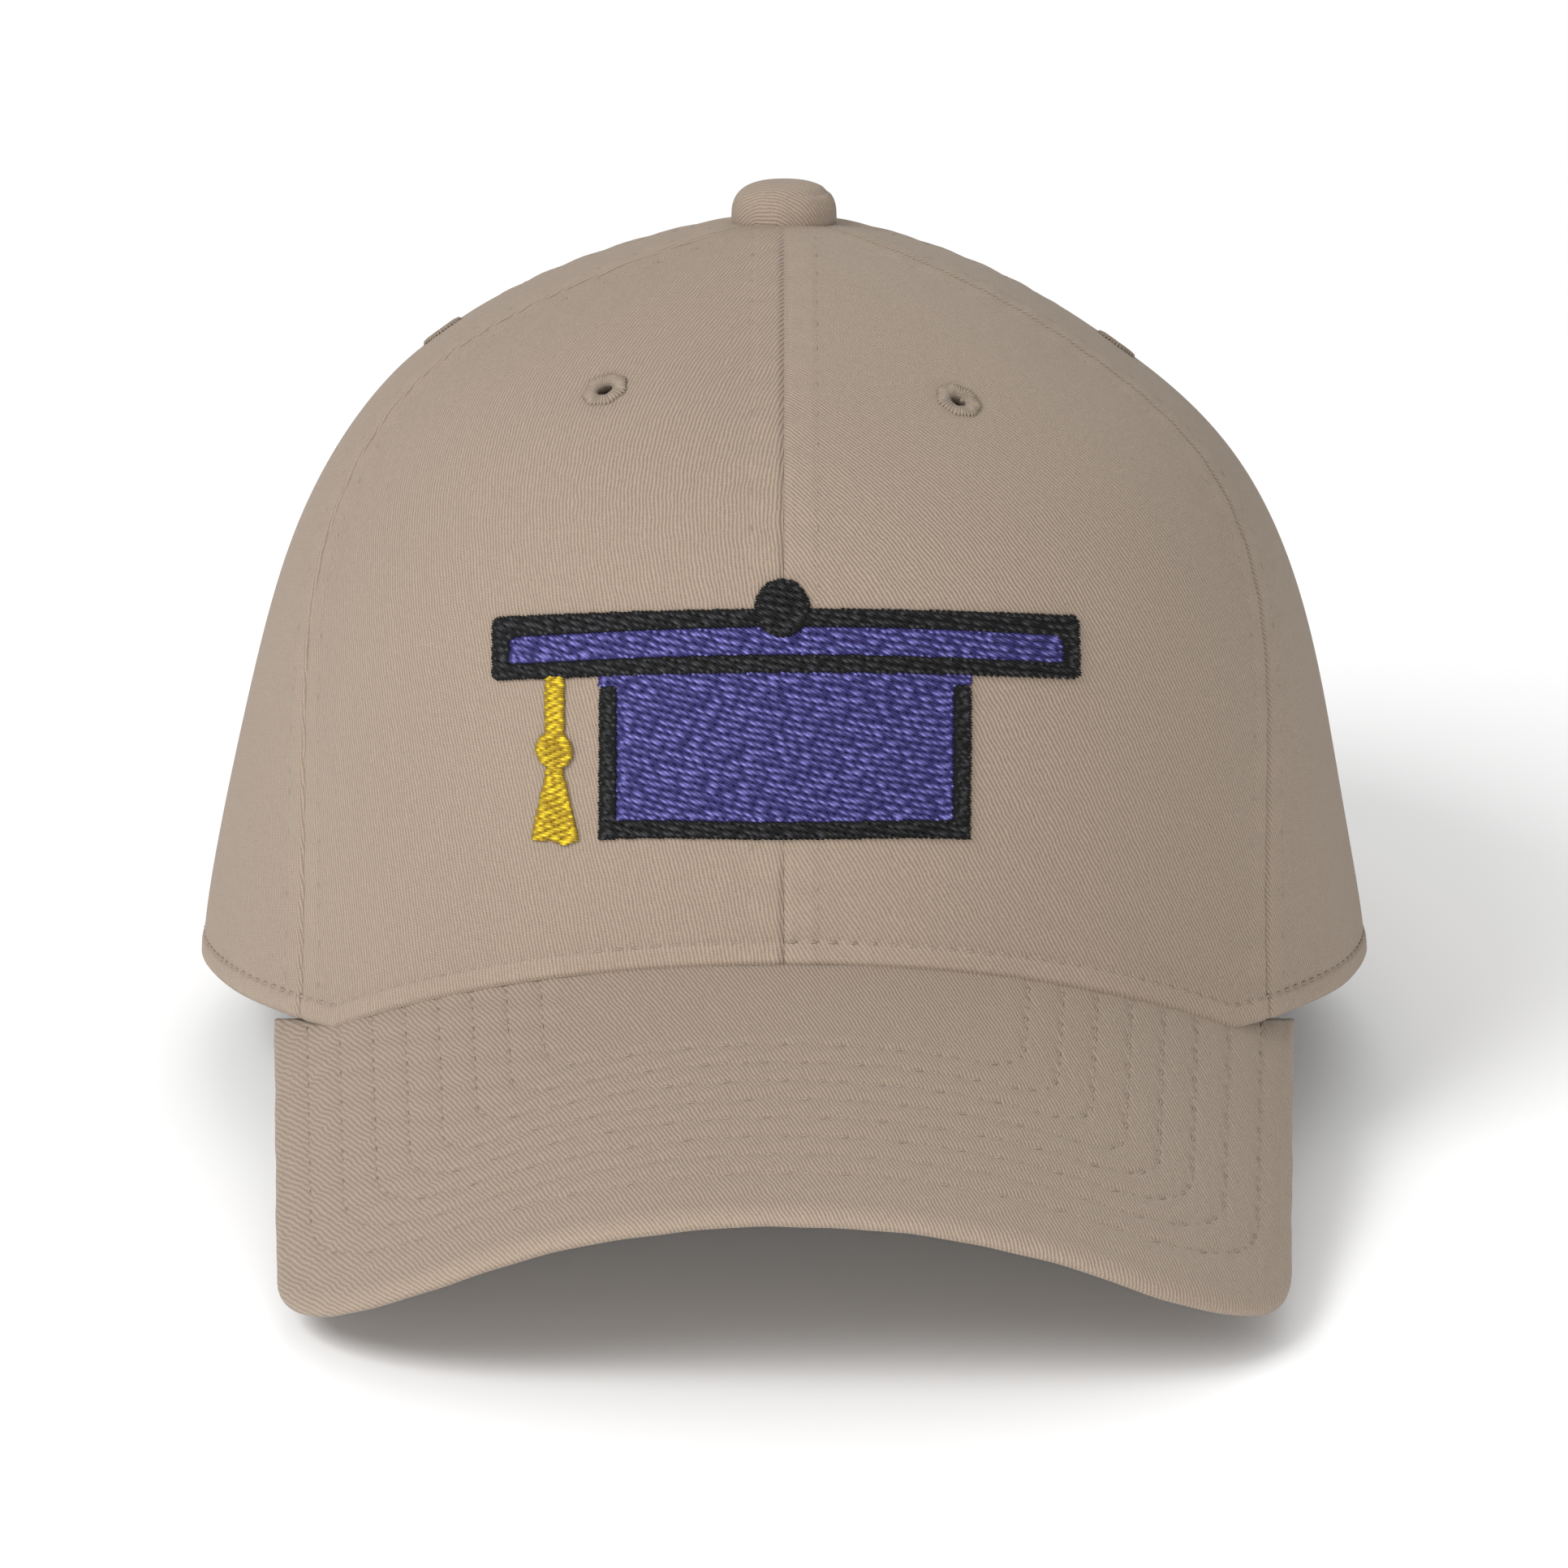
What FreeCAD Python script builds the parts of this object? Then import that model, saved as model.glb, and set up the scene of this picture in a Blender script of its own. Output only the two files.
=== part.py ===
import FreeCAD, Part
import math
import os

import Sketcher
from FreeCAD import Placement, Rotation, Vector

# A structured six-panel baseball cap with a curved visor and an embroidered mortarboard.
#
# The cap is drawn in its hem frame: X to the right of the front view,
# Y to the back, Z up, with the flat part of the hem at Z = 0 and the head opening
# centred on the origin.  The visor has a frame of its own, placed at the middle of its
# root.  At the very end every sub-part gets one common placement that tips the cap
# nose-up, so that it stands on the two visor corners and the back of the hem at Z = 0.

# ---------------------------------------------------------------------------------
# Driving dimensions, in millimetres unless the name says otherwise
# ---------------------------------------------------------------------------------
SIZES = [
    # outer cloth surface of the crown
    ("crown_half_width", 96.6),
    ("crown_half_length", 105.0),
    ("crown_height", 122.3),
    ("crown_top_shift", -3.0),
    ("width_taper_ratio", 0.231),
    ("width_shoulder_power", 5.345),
    ("width_roundness", 1.31),
    ("length_taper_ratio", 0.12),
    ("length_shoulder_power", 4.4),
    ("length_roundness", 1.5),
    # seams, as angles round the oval from the middle of the front
    ("front_seam_hem_degrees", 54.0),
    ("front_seam_top_degrees", 60.0),
    ("front_seam_bow_degrees", 30.0),
    ("back_seam_hem_degrees", 118.0),
    ("back_seam_top_degrees", 120.0),
    ("back_seam_bow_degrees", -8.0),
    # crown layers, from the outside in
    ("cloth_thickness", 1.0),
    ("buckram_thickness", 0.7),
    ("tape_thickness", 0.6),
    ("backing_thickness", 0.3),
    ("band_padding_thickness", 0.8),
    ("band_face_thickness", 0.8),
    ("band_binding_thickness", 0.4),
    ("tape_width", 16.0),
    ("hem_tape_height", 8.0),
    ("band_height", 34.0),
    ("band_front_height", 24.0),
    ("band_binding_height", 3.0),
    ("part_clearance", 0.5),
    # sewing thread lying on the cloth
    ("stitch_width", 0.7),
    ("stitch_height", 0.25),
    ("seam_stitch_offset", 5.2),
    ("hem_stitch_offset", 3.7),
    ("stitch_start_radius", 11.5),
    # eyelets
    ("eyelet_outer_radius", 4.0),
    ("eyelet_inner_radius", 3.2),
    ("eyelet_bore_radius", 1.3),
    ("eyelet_sleeve_radius", 2.0),
    ("eyelet_height", 0.6),
    ("eyelet_level_ratio", 0.822),
    ("front_eyelet_degrees", 30.0),
    ("side_eyelet_degrees", 99.0),
    ("back_eyelet_degrees", 150.0),
    # covered button on the top
    ("button_radius", 8.6),
    ("button_height", 5.6),
    ("button_rim_drop", 2.2),
    ("button_cloth_thickness", 0.6),
    ("button_metal_thickness", 0.5),
    ("shank_radius", 1.5),
    ("washer_radius", 7.0),
    ("washer_thickness", 1.2),
    ("rivet_head_radius", 3.0),
    ("rivet_head_height", 0.8),
    # visor
    ("visor_half_width", 79.9),
    ("visor_rear_half_width", 84.2),
    ("visor_length", 70.5),
    ("visor_root_height", 16.7),
    ("visor_pitch_degrees", 21.4),
    ("visor_curve_radius", 107.5),
    ("visor_corner_radius", 34.0),
    ("visor_front_radius", 340.0),
    ("visor_cover_thickness", 0.9),
    ("visor_board_thickness", 1.8),
    ("visor_row_count", 8),
    ("visor_row_spacing", 5.2),
    ("visor_first_row_front", 11.5),
    ("visor_first_row_side", 6.0),
    ("visor_row_corner", 8.0),
    # embroidered mortarboard
    ("embroidery_height", 0.8),
    ("embroidery_fill_height", 0.6),
    ("embroidery_line_width", 2.6),
    ("board_half_width", 46.0),
    ("board_top_level", 71.3),
    ("board_bottom_level", 61.9),
    ("board_end_drop", 3.4),
    ("skull_half_width", 29.0),
    ("skull_bottom_level", 36.4),
    ("skull_strip_top_level", 59.2),
    ("dot_radius", 4.2),
    ("tassel_center", -36.2),
    ("tassel_cord_width", 2.9),
    ("tassel_knot_level", 48.6),
    ("tassel_knot_radius", 2.8),
    ("tassel_bottom_level", 34.5),
    ("tassel_skirt_width", 7.6),
    # blank label inside the back
    ("label_half_width", 18.0),
    ("label_bottom", 8.0),
    ("label_top", 28.0),
    ("label_thickness", 0.3),
]

doc = FreeCAD.newDocument("baseball_cap")
sheet = doc.addObject("Spreadsheet::Sheet", "sizes")
for row_number, (alias, number) in enumerate(SIZES, start=1):
    sheet.set(f"A{row_number}", alias)
    sheet.set(f"B{row_number}", str(number))
    sheet.setAlias(f"B{row_number}", alias)
doc.recompute()


def size(alias):
    """The sheet's number for one driving dimension."""
    return float(sheet.get(alias))


def value_of(rule):
    """The number that an expression over the sheet gives."""
    return float(sheet.evalExpression(str(rule)))


def bind(thing, **expressions):
    """Bind properties of an object to expressions over the sheet."""
    for name, expression in expressions.items():
        thing.setExpression(name, expression)


# Depths of the crown's layer faces below the outer cloth surface.
CLOTH_INNER = size("cloth_thickness")
BUCKRAM_INNER = CLOTH_INNER + size("buckram_thickness")
TAPE_ON_CLOTH = CLOTH_INNER + size("tape_thickness")
BACKING_INNER = BUCKRAM_INNER + size("backing_thickness")
BAND_OUTER = BUCKRAM_INNER + size("tape_thickness")
PADDING_INNER = BAND_OUTER + size("band_padding_thickness")
BAND_INNER = PADDING_INNER + size("band_face_thickness")
BINDING_INNER = BAND_INNER + size("band_binding_thickness")
LABEL_INNER = BAND_INNER + size("label_thickness")
VISOR_THICKNESS = 2.0 * size("visor_cover_thickness") + size("visor_board_thickness")


# ---------------------------------------------------------------------------------
# The crown's shape, as a law of the level: 0 at the hem and 1 at the top
# ---------------------------------------------------------------------------------
def taper(level, which):
    """Share of the hem's half width or half length that is left at a level."""
    rise = max(level, 0.0)
    straight = 1.0 - size(f"{which}_taper_ratio") * rise
    shoulder = 1.0 - rise ** size(f"{which}_shoulder_power")
    return straight * shoulder ** (1.0 / size(f"{which}_roundness"))


def center_at(level, depth=0.0):
    """Middle of the crown's oval at a level, with Z measured `depth` under the cloth."""
    shift = size("crown_top_shift") * max(level, 0.0) ** 2
    return Vector(0.0, shift, (size("crown_height") - depth) * level)


def crown_point(degrees, level, depth=0.0):
    """A point of the crown, `degrees` round from the middle of the front."""
    half_width = (size("crown_half_width") - depth) * taper(level, "width")
    half_length = (size("crown_half_length") - depth) * taper(level, "length")
    angle = math.radians(degrees)
    offset = Vector(half_width * math.sin(angle), -half_length * math.cos(angle), 0.0)
    return center_at(level, depth) + offset


def crown_normal(degrees, level):
    """Unit vector that points out of the crown at one of its points."""
    step = 0.01
    around = crown_point(degrees + step, level) - crown_point(degrees - step, level)
    upward = crown_point(degrees, level + step) - crown_point(degrees, level - step)
    normal = around.cross(upward)
    return normal.normalize()


DOME_LEVELS = [-0.25, 0.0, 0.2, 0.4, 0.55, 0.68, 0.79, 0.88, 0.94, 0.98, 0.997]
POINTS_ROUND = 16
domes = {}


def dome(depth):
    """Solid bounded by the crown's surface `depth` under the cloth, open to reuse."""
    key = round(depth, 4)
    if key in domes:
        return domes[key]
    wires = []
    for level in DOME_LEVELS:
        ring = Part.BSplineCurve()
        points = [crown_point(180.0 + 360.0 * i / POINTS_ROUND, level, depth)
                  for i in range(POINTS_ROUND)]
        ring.interpolate(Points=points, PeriodicFlag=True)
        wires.append(Part.Wire([ring.toShape()]))
    solid = doc.addObject("Part::Feature", "dome_tool")
    solid.Shape = Part.makeLoft(wires, True, False)
    domes[key] = solid
    return solid


# ---------------------------------------------------------------------------------
# Booleans, as objects of the document
# ---------------------------------------------------------------------------------
def common(*pieces, label="common_tool"):
    """What all pieces share."""
    result = doc.addObject("Part::MultiCommon", label)
    result.Shapes = list(pieces)
    return result


def fuse(*pieces, label="fuse_tool"):
    """All pieces together."""
    if len(pieces) == 1:
        return pieces[0]
    result = doc.addObject("Part::MultiFuse", label)
    result.Shapes = list(pieces)
    return result


def cut(base, *tools, label="cut_tool"):
    """The base without any of the tools."""
    result = doc.addObject("Part::Cut", label)
    result.Base = base
    result.Tool = fuse(*tools)
    return result


def group(*pieces, label="group_tool"):
    """Separate solids that go by one name."""
    result = doc.addObject("Part::Compound", label)
    result.Links = list(pieces)
    return result


shells = {}


def shell(outer_depth, inner_depth):
    """The crown-shaped layer between two depths, open to reuse."""
    key = (round(outer_depth, 4), round(inner_depth, 4))
    if key not in shells:
        shells[key] = cut(dome(outer_depth), dome(inner_depth), label="layer_tool")
    return shells[key]


subparts = []


def keep(piece, name):
    """Count an object as a sub-part, under its own name."""
    piece.Label = name
    subparts.append(piece)
    return piece


# ---------------------------------------------------------------------------------
# Seams: the sides of the six panels, and strips that run along them
# ---------------------------------------------------------------------------------
SEAM_LEVELS = [0.0, 0.25, 0.5, 0.65, 0.8, 0.92, 1.0, 1.06]
REACH = 1.7


def seam_degrees(seam, level):
    """Angle round the oval at which a seam crosses a level."""
    if seam == "front_center":
        return 0.0
    if seam == "back_center":
        return 180.0
    rise = min(max(level, 0.0), 1.0)
    start = size(f"{seam}_seam_hem_degrees")
    end = size(f"{seam}_seam_top_degrees")
    bow = size(f"{seam}_seam_bow_degrees") * rise ** 1.7 * (1.0 - rise ** 5)
    return start + (end - start) * rise + bow


def seam_direction(seam, side, level):
    """Level unit vector from the crown's axis towards a seam."""
    degrees = side * seam_degrees(seam, level)
    outward = crown_point(degrees, min(level, 0.9)) - center_at(min(level, 0.9))
    return Vector(outward.x, outward.y, 0.0).normalize()


def seam_loft(outline, levels=None):
    """Solid through one polygon per level, for cutting the crown's layers."""
    wires = [Part.makePolygon([*outline(level), outline(level)[0]])
             for level in (levels or SEAM_LEVELS)]
    solid = doc.addObject("Part::Feature", "seam_tool")
    solid.Shape = Part.makeLoft(wires, True, True)
    return solid


def panel_wedge(first, second, side, hold_back=0.0):
    """The sector between two seams on one side, `hold_back` short of the outer seam."""
    far = REACH * size("crown_half_length")

    def outline(level):
        center = center_at(level)
        one = seam_direction(first, side, level)
        two = seam_direction(second, side, level)
        inset = Vector(0, 0, 1).cross(two) * (-side * hold_back)
        middle = (one + two).normalize()
        return [center + inset, center + one * far, center + middle * far,
                center + two * far + inset]

    return seam_loft(outline)


def seam_strip(seam, side, start, end, first_radius, levels=None):
    """A strip along a seam, from `start` to `end` beside it, outside a radius."""
    far = REACH * size("crown_half_length")

    def outline(level):
        center = center_at(level)
        along = seam_direction(seam, side, level)
        beside = Vector(0, 0, 1).cross(along) * side
        return [center + along * first_radius + beside * start,
                center + along * far + beside * start,
                center + along * far + beside * end,
                center + along * first_radius + beside * end]

    return seam_loft(outline, levels)


def slab(bottom, top, spread=2.0):
    """A flat block between two heights over the hem, `spread` times as wide as the cap."""
    block = doc.addObject("Part::Box", "slab_tool")
    bind(block, Length=f"sizes.crown_half_width * 2 * {spread}",
         Width=f"sizes.crown_half_length * 2 * {spread}", Height=f"{top} - ({bottom})")
    corner = Vector(-spread * size("crown_half_width"), -spread * size("crown_half_length"),
                    0.0)
    block.Placement = Placement(corner, Rotation())
    bind(block, **{"Placement.Base.z": f"{bottom}"})
    return block


# ---------------------------------------------------------------------------------
# The visor's frame and its curved surface
# ---------------------------------------------------------------------------------
root_level = size("visor_root_height") / size("crown_height")
root_point = crown_point(0.0, root_level)
visor_frame = Placement(root_point, Rotation(Vector(1, 0, 0), size("visor_pitch_degrees")))
ROOT_BEHIND_RULE = "sizes.crown_half_length * 0.65"
ROOT_BEHIND = value_of(ROOT_BEHIND_RULE)


def visor_cylinder(offset, longer=0.0):
    """Everything below the visor's curved surface, raised by `offset`."""
    drum = doc.addObject("Part::Cylinder", "visor_curve_tool")
    bind(drum, Radius=f"sizes.visor_curve_radius + {offset}")
    bind(drum, Height=f"{ROOT_BEHIND_RULE} + 1.5 * sizes.visor_length + {2.0 * longer}")
    start = Placement(Vector(0.0, ROOT_BEHIND + longer, -size("visor_curve_radius")),
                      Rotation(Vector(1, 0, 0), 90.0))
    drum.Placement = visor_frame.multiply(start)
    return drum


def below_line(offset, hem_height, larger=False):
    """The region under a line that follows the hem and arches over the visor."""
    base = slab("-sizes.crown_height", hem_height, 2.5 if larger else 2.0)
    arch = visor_cylinder(offset, 2.0 if larger else 0.0)
    return fuse(base, arch, label="line_tool")


def visor_outline(front_inset, side_inset):
    """Body of the visor's outline, drawn inside its edge, as deep as its curve."""
    body = doc.addObject("PartDesign::Body", "visor_outline_body")
    plane = [feature for feature in body.Origin.OriginFeatures
             if feature.Role == "XY_Plane"][0]
    sketch = body.newObject("Sketcher::SketchObject", "visor_outline_sketch")
    sketch.AttachmentSupport = (plane, [""])
    sketch.MapMode = "FlatFace"
    sketch.AttachmentOffset = Placement(Vector(0, 0, 2.0), Rotation())

    rules = {
        "half_width": f"sizes.visor_half_width - ({side_inset})",
        "corner": f"max(sizes.visor_corner_radius - ({side_inset}); sizes.visor_row_corner)",
        "edge": f"sizes.visor_front_radius - ({front_inset})",
        "edge_center": "sizes.visor_front_radius - sizes.visor_length",
        "rear": f"{ROOT_BEHIND_RULE}",
        "rear_half": f"sizes.visor_rear_half_width - ({side_inset})",
    }
    half, corner, edge, edge_y, back, rear = [value_of(rule) for rule in rules.values()]
    flare = math.atan2(rear - half, back + 0.5 * size("visor_length"))
    reach = half - corner * math.cos(flare)
    corner_y = edge_y - math.sqrt((edge - corner) ** 2 - reach ** 2)
    lean = math.atan2(reach, edge_y - corner_y)
    down = 1.5 * math.pi
    upright = Vector(0, 0, 1)
    sketch.addGeometry([
        Part.LineSegment(Vector(-rear, back, 0), Vector(-half, corner_y, 0)),
        Part.ArcOfCircle(Part.Circle(Vector(-reach, corner_y, 0), upright, corner),
                         math.pi + flare, down - lean),
        Part.ArcOfCircle(Part.Circle(Vector(0, edge_y, 0), upright, edge),
                         down - lean, down + lean),
        Part.ArcOfCircle(Part.Circle(Vector(reach, corner_y, 0), upright, corner),
                         down + lean, 2.0 * math.pi - flare),
        Part.LineSegment(Vector(half, corner_y, 0), Vector(rear, back, 0)),
        Part.LineSegment(Vector(rear, back, 0), Vector(-rear, back, 0)),
    ], False)
    for first in range(4):
        sketch.addConstraint(Sketcher.Constraint("Tangent", first, 2, first + 1, 1))
    sketch.addConstraint(Sketcher.Constraint("Coincident", 4, 2, 5, 1))
    sketch.addConstraint(Sketcher.Constraint("Coincident", 5, 2, 0, 1))
    sketch.addConstraint(Sketcher.Constraint("Symmetric", 0, 1, 4, 2, -2))
    sketch.addConstraint(Sketcher.Constraint("PointOnObject", 2, 3, -2))
    sketch.addConstraint(Sketcher.Constraint("Symmetric", 0, 2, 4, 1, -2))
    named = {
        "half_width": Sketcher.Constraint("DistanceX", -1, 1, 4, 1, half),
        "corner": Sketcher.Constraint("Radius", 1, corner),
        "edge": Sketcher.Constraint("Radius", 2, edge),
        "edge_center": Sketcher.Constraint("DistanceY", -1, 1, 2, 3, edge_y),
        "rear": Sketcher.Constraint("DistanceY", -1, 1, 4, 2, back),
        "rear_half": Sketcher.Constraint("DistanceX", -1, 1, 4, 2, rear),
    }
    for name, constraint in named.items():
        index = sketch.addConstraint(constraint)
        sketch.renameConstraint(index, name)
        sketch.setExpression(f"Constraints.{name}", rules[name])
    pad = body.newObject("PartDesign::Pad", "visor_outline_pad")
    pad.Profile = sketch
    pad.Reversed = True
    bind(pad, Length="sizes.visor_curve_radius")
    body.Placement = visor_frame
    return body


def visor_layer(top_depth, bottom_depth, outline):
    """The part of an outline that lies between two depths of the curved visor."""
    leaf = cut(visor_cylinder(f"-({top_depth})"), visor_cylinder(f"-({bottom_depth})"))
    return common(leaf, outline)


# ---------------------------------------------------------------------------------
# Crown panels
# ---------------------------------------------------------------------------------
SIDES = [("left", -1), ("right", 1)]
PANELS = [("front", "front_center", "front"), ("side", "front", "back"),
          ("back", "back", "back_center")]


def drill(degrees, level, radius, top, bottom):
    """A round bar through the crown, square to its surface, from `top` to `bottom`."""
    bar = doc.addObject("Part::Cylinder", "bore_tool")
    bind(bar, Radius=f"sizes.{radius}")
    bar.Height = top - bottom
    normal = crown_normal(degrees, level)
    base = crown_point(degrees, level) + normal * bottom
    bar.Placement = Placement(base, Rotation(Vector(0, 0, 1), normal))
    return bar


def post(radius):
    """A round upright bar through the middle of the crown's top."""
    bar = doc.addObject("Part::Cylinder", "post_tool")
    bind(bar, Radius=radius, Height="sizes.crown_height")
    top = center_at(1.0)
    bar.Placement = Placement(Vector(top.x, top.y, 0.5 * top.z), Rotation())
    return bar


visor_space = visor_cylinder("0")
shank_bore = post("sizes.shank_radius")
cloth_shell = shell(0.0, CLOTH_INNER)
eyelet_level = size("eyelet_level_ratio")

for side_name, side in SIDES:
    for panel_name, first_seam, second_seam in PANELS:
        degrees = side * size(f"{panel_name}_eyelet_degrees")
        hole = drill(degrees, eyelet_level, "eyelet_sleeve_radius", 5.0, -6.0)
        wedge = panel_wedge(first_seam, second_seam, side)
        blank = common(cloth_shell, wedge)
        tools = [hole, shank_bore]
        if panel_name != "back":
            tools.append(visor_space)
        keep(cut(blank, *tools), f"{panel_name}_panel_{side_name}")

# ---------------------------------------------------------------------------------
# Stiffener behind the front panels, tape over every seam, tape round the hem
# ---------------------------------------------------------------------------------
half_tape = 0.5 * size("tape_width")
tape_stop = half_tape + size("part_clearance")
tape_start_radius = size("tape_width") * 0.5 / math.tan(math.radians(28.0))
hem_zone = below_line("sizes.hem_tape_height", "sizes.hem_tape_height")
washer_space = post("sizes.washer_radius + sizes.part_clearance")
buckram_shell = shell(CLOTH_INNER, BUCKRAM_INNER)

for side_name, side in SIDES:
    degrees = side * size("front_eyelet_degrees")
    hole = drill(degrees, eyelet_level, "eyelet_sleeve_radius", 5.0, -6.0)
    wedge = panel_wedge("front_center", "front", side, hold_back=tape_stop)
    blank = common(buckram_shell, wedge)
    keep(cut(blank, hole, washer_space, hem_zone), f"front_buckram_{side_name}")

tape_shell = shell(CLOTH_INNER, TAPE_ON_CLOTH)
front_tape_shell = shell(BUCKRAM_INNER, BAND_OUTER)
tapes = [("front_center_seam_tape", "front_center", 1, front_tape_shell),
         ("back_center_seam_tape", "back_center", 1, tape_shell)]
for side_name, side in SIDES:
    tapes.append((f"front_seam_tape_{side_name}", "front", side, tape_shell))
    tapes.append((f"back_seam_tape_{side_name}", "back", side, tape_shell))
for name, seam, side, layer in tapes:
    strip = seam_strip(seam, side, -half_tape, half_tape, tape_start_radius)
    keep(cut(common(layer, strip), hem_zone), name)

hem_shell = shell(CLOTH_INNER, BAND_OUTER)
hem_ring = common(hem_shell, cut(hem_zone, slab("-2 * sizes.crown_height", "0")))
keep(cut(hem_ring, visor_space), "hem_tape")

# ---------------------------------------------------------------------------------
# Sweatband, with its padding, its bound top edge and the blank label
# ---------------------------------------------------------------------------------
below_hem = slab("-2 * sizes.crown_height", "0")
under_visor = visor_cylinder(f"-{VISOR_THICKNESS}")
band_zone = below_line("sizes.band_front_height", "sizes.band_height")
bare_zone = below_line("sizes.band_front_height - sizes.band_binding_height",
                       "sizes.band_height - sizes.band_binding_height", larger=True)


def band_ring(outer_depth, inner_depth, name):
    """A ring of the sweatband, open below where the visor's root passes."""
    ring = common(shell(outer_depth, inner_depth), bare_zone)
    return keep(cut(ring, below_hem, under_visor), name)


band_ring(BAND_OUTER, PADDING_INNER, "sweatband_padding")
band_ring(PADDING_INNER, BAND_INNER, "sweatband_face")
binding_blank = cut(shell(BAND_OUTER, BINDING_INNER), bare_zone)
keep(common(binding_blank, band_zone), "sweatband_top_binding")

label_block = doc.addObject("Part::Box", "label_tool")
bind(label_block, Length="2 * sizes.label_half_width", Width="sizes.crown_half_length",
     Height="sizes.label_top - sizes.label_bottom")
bind(label_block, **{"Placement.Base.x": "-sizes.label_half_width",
                     "Placement.Base.z": "sizes.label_bottom"})
keep(common(shell(BAND_INNER, LABEL_INNER), label_block), "blank_label")

# ---------------------------------------------------------------------------------
# Sewing on the crown: two rows beside every seam, one row round the hem
# ---------------------------------------------------------------------------------
stitch_shell = shell(-size("stitch_height"), 0.0)
row_inner = size("seam_stitch_offset") - 0.5 * size("stitch_width")
row_outer = row_inner + size("stitch_width")
first_radius = size("stitch_start_radius")
stitch_zone = below_line("sizes.hem_stitch_offset + 2 * sizes.stitch_width",
                         "sizes.hem_stitch_offset + 2 * sizes.stitch_width")
for name, seam, side, layer in tapes:
    rows = []
    for near, far in [(row_inner, row_outer), (-row_outer, -row_inner)]:
        strip = seam_strip(seam, side, near, far, first_radius)
        rows.append(cut(common(stitch_shell, strip), stitch_zone))
    keep(group(*rows), name.replace("_seam_tape", "_topstitch"))

above_row = below_line("sizes.hem_stitch_offset + sizes.stitch_width / 2",
                       "sizes.hem_stitch_offset + sizes.stitch_width / 2")
below_row = below_line("sizes.hem_stitch_offset - sizes.stitch_width / 2",
                       "sizes.hem_stitch_offset - sizes.stitch_width / 2", larger=True)
keep(cut(common(stitch_shell, above_row), below_row), "hem_topstitch")

# ---------------------------------------------------------------------------------
# Eyelets: a ring of thread on the outside, a sleeve through the cloth, a ring inside
# ---------------------------------------------------------------------------------
outer_ring_shell = shell(-size("eyelet_height"), 0.0)
for side_name, side in SIDES:
    for panel_name, _, _ in PANELS:
        degrees = side * size(f"{panel_name}_eyelet_degrees")
        through = BUCKRAM_INNER if panel_name == "front" else CLOTH_INNER
        inner_shell = shell(through, through + 0.5 * size("eyelet_height"))
        wall = shell(0.0, through)
        bars = [("eyelet_outer_radius", outer_ring_shell), ("eyelet_sleeve_radius", wall),
                ("eyelet_inner_radius", inner_shell)]
        rings = [common(layer, drill(degrees, eyelet_level, radius, 4.0, -5.0))
                 for radius, layer in bars]
        bore = drill(degrees, eyelet_level, "eyelet_bore_radius", 6.0, -7.0)
        keep(cut(fuse(*rings), bore), f"{panel_name}_eyelet_{side_name}")


# ---------------------------------------------------------------------------------
# Covered button: cloth cover over a metal shell, shank through the crown, washer inside
# ---------------------------------------------------------------------------------
def turned(name, outline):
    """A body turned about the button's upright axis from an outline of (r, z) points."""
    body = doc.addObject("PartDesign::Body", name)
    plane = [feature for feature in body.Origin.OriginFeatures
             if feature.Role == "XZ_Plane"][0]
    sketch = body.newObject("Sketcher::SketchObject", f"{name}_sketch")
    sketch.AttachmentSupport = (plane, [""])
    sketch.MapMode = "FlatFace"
    corners = [Vector(radius, height, 0.0) for radius, height, _, _ in outline]
    count = len(outline)
    for i in range(count):
        sketch.addGeometry(Part.LineSegment(corners[i], corners[(i + 1) % count]), False)
    for i in range(count):
        sketch.addConstraint(Sketcher.Constraint("Coincident", i, 2, (i + 1) % count, 1))
    for i, (radius, height, radius_rule, height_rule) in enumerate(outline):
        for kind, number, rule in [("DistanceX", radius, radius_rule),
                                   ("DistanceY", height, height_rule)]:
            index = sketch.addConstraint(Sketcher.Constraint(kind, -1, 1, i, 1, number))
            sketch.setExpression(f"Constraints[{index}]", rule)
    spin = body.newObject("PartDesign::Revolution", f"{name}_turn")
    spin.Profile = sketch
    spin.ReferenceAxis = (sketch, ["V_Axis"])
    spin.Angle = 360.0
    body.Placement = Placement(center_at(1.0), Rotation())
    return body


def button_outline(inset):
    """Half section of the button's round top, as corners on an ellipse, inset all round."""
    radius = size("button_radius") - inset
    top = size("button_height") - inset
    bottom = -size("button_rim_drop")
    facets = 10
    corners = [(0.0, bottom, "0", "-sizes.button_rim_drop")]
    for i in range(facets + 1):
        share = math.radians(90.0 * i / facets)
        wide = math.cos(share) ** 0.7
        tall = math.sin(share)
        corners.append((radius * wide, top * tall,
                        f"(sizes.button_radius - {inset}) * {wide}",
                        f"(sizes.button_height - {inset}) * {tall}"))
    first = corners[1]
    corners.insert(1, (first[0], bottom, first[2], "-sizes.button_rim_drop"))
    corners[-1] = (0.0, top, "0", f"sizes.button_height - {inset}")
    return corners


def disc(radius_rule, height_rule, drop_rule):
    """A flat round disc on the button's axis, its underside `drop_rule` below the top."""
    plate = doc.addObject("Part::Cylinder", "disc_tool")
    top = center_at(1.0)
    plate.Placement = Placement(Vector(top.x, top.y, 0.0), Rotation())
    bind(plate, Radius=radius_rule, Height=height_rule)
    bind(plate, **{"Placement.Base.z": f"sizes.crown_height - ({drop_rule})"})
    return plate


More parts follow.
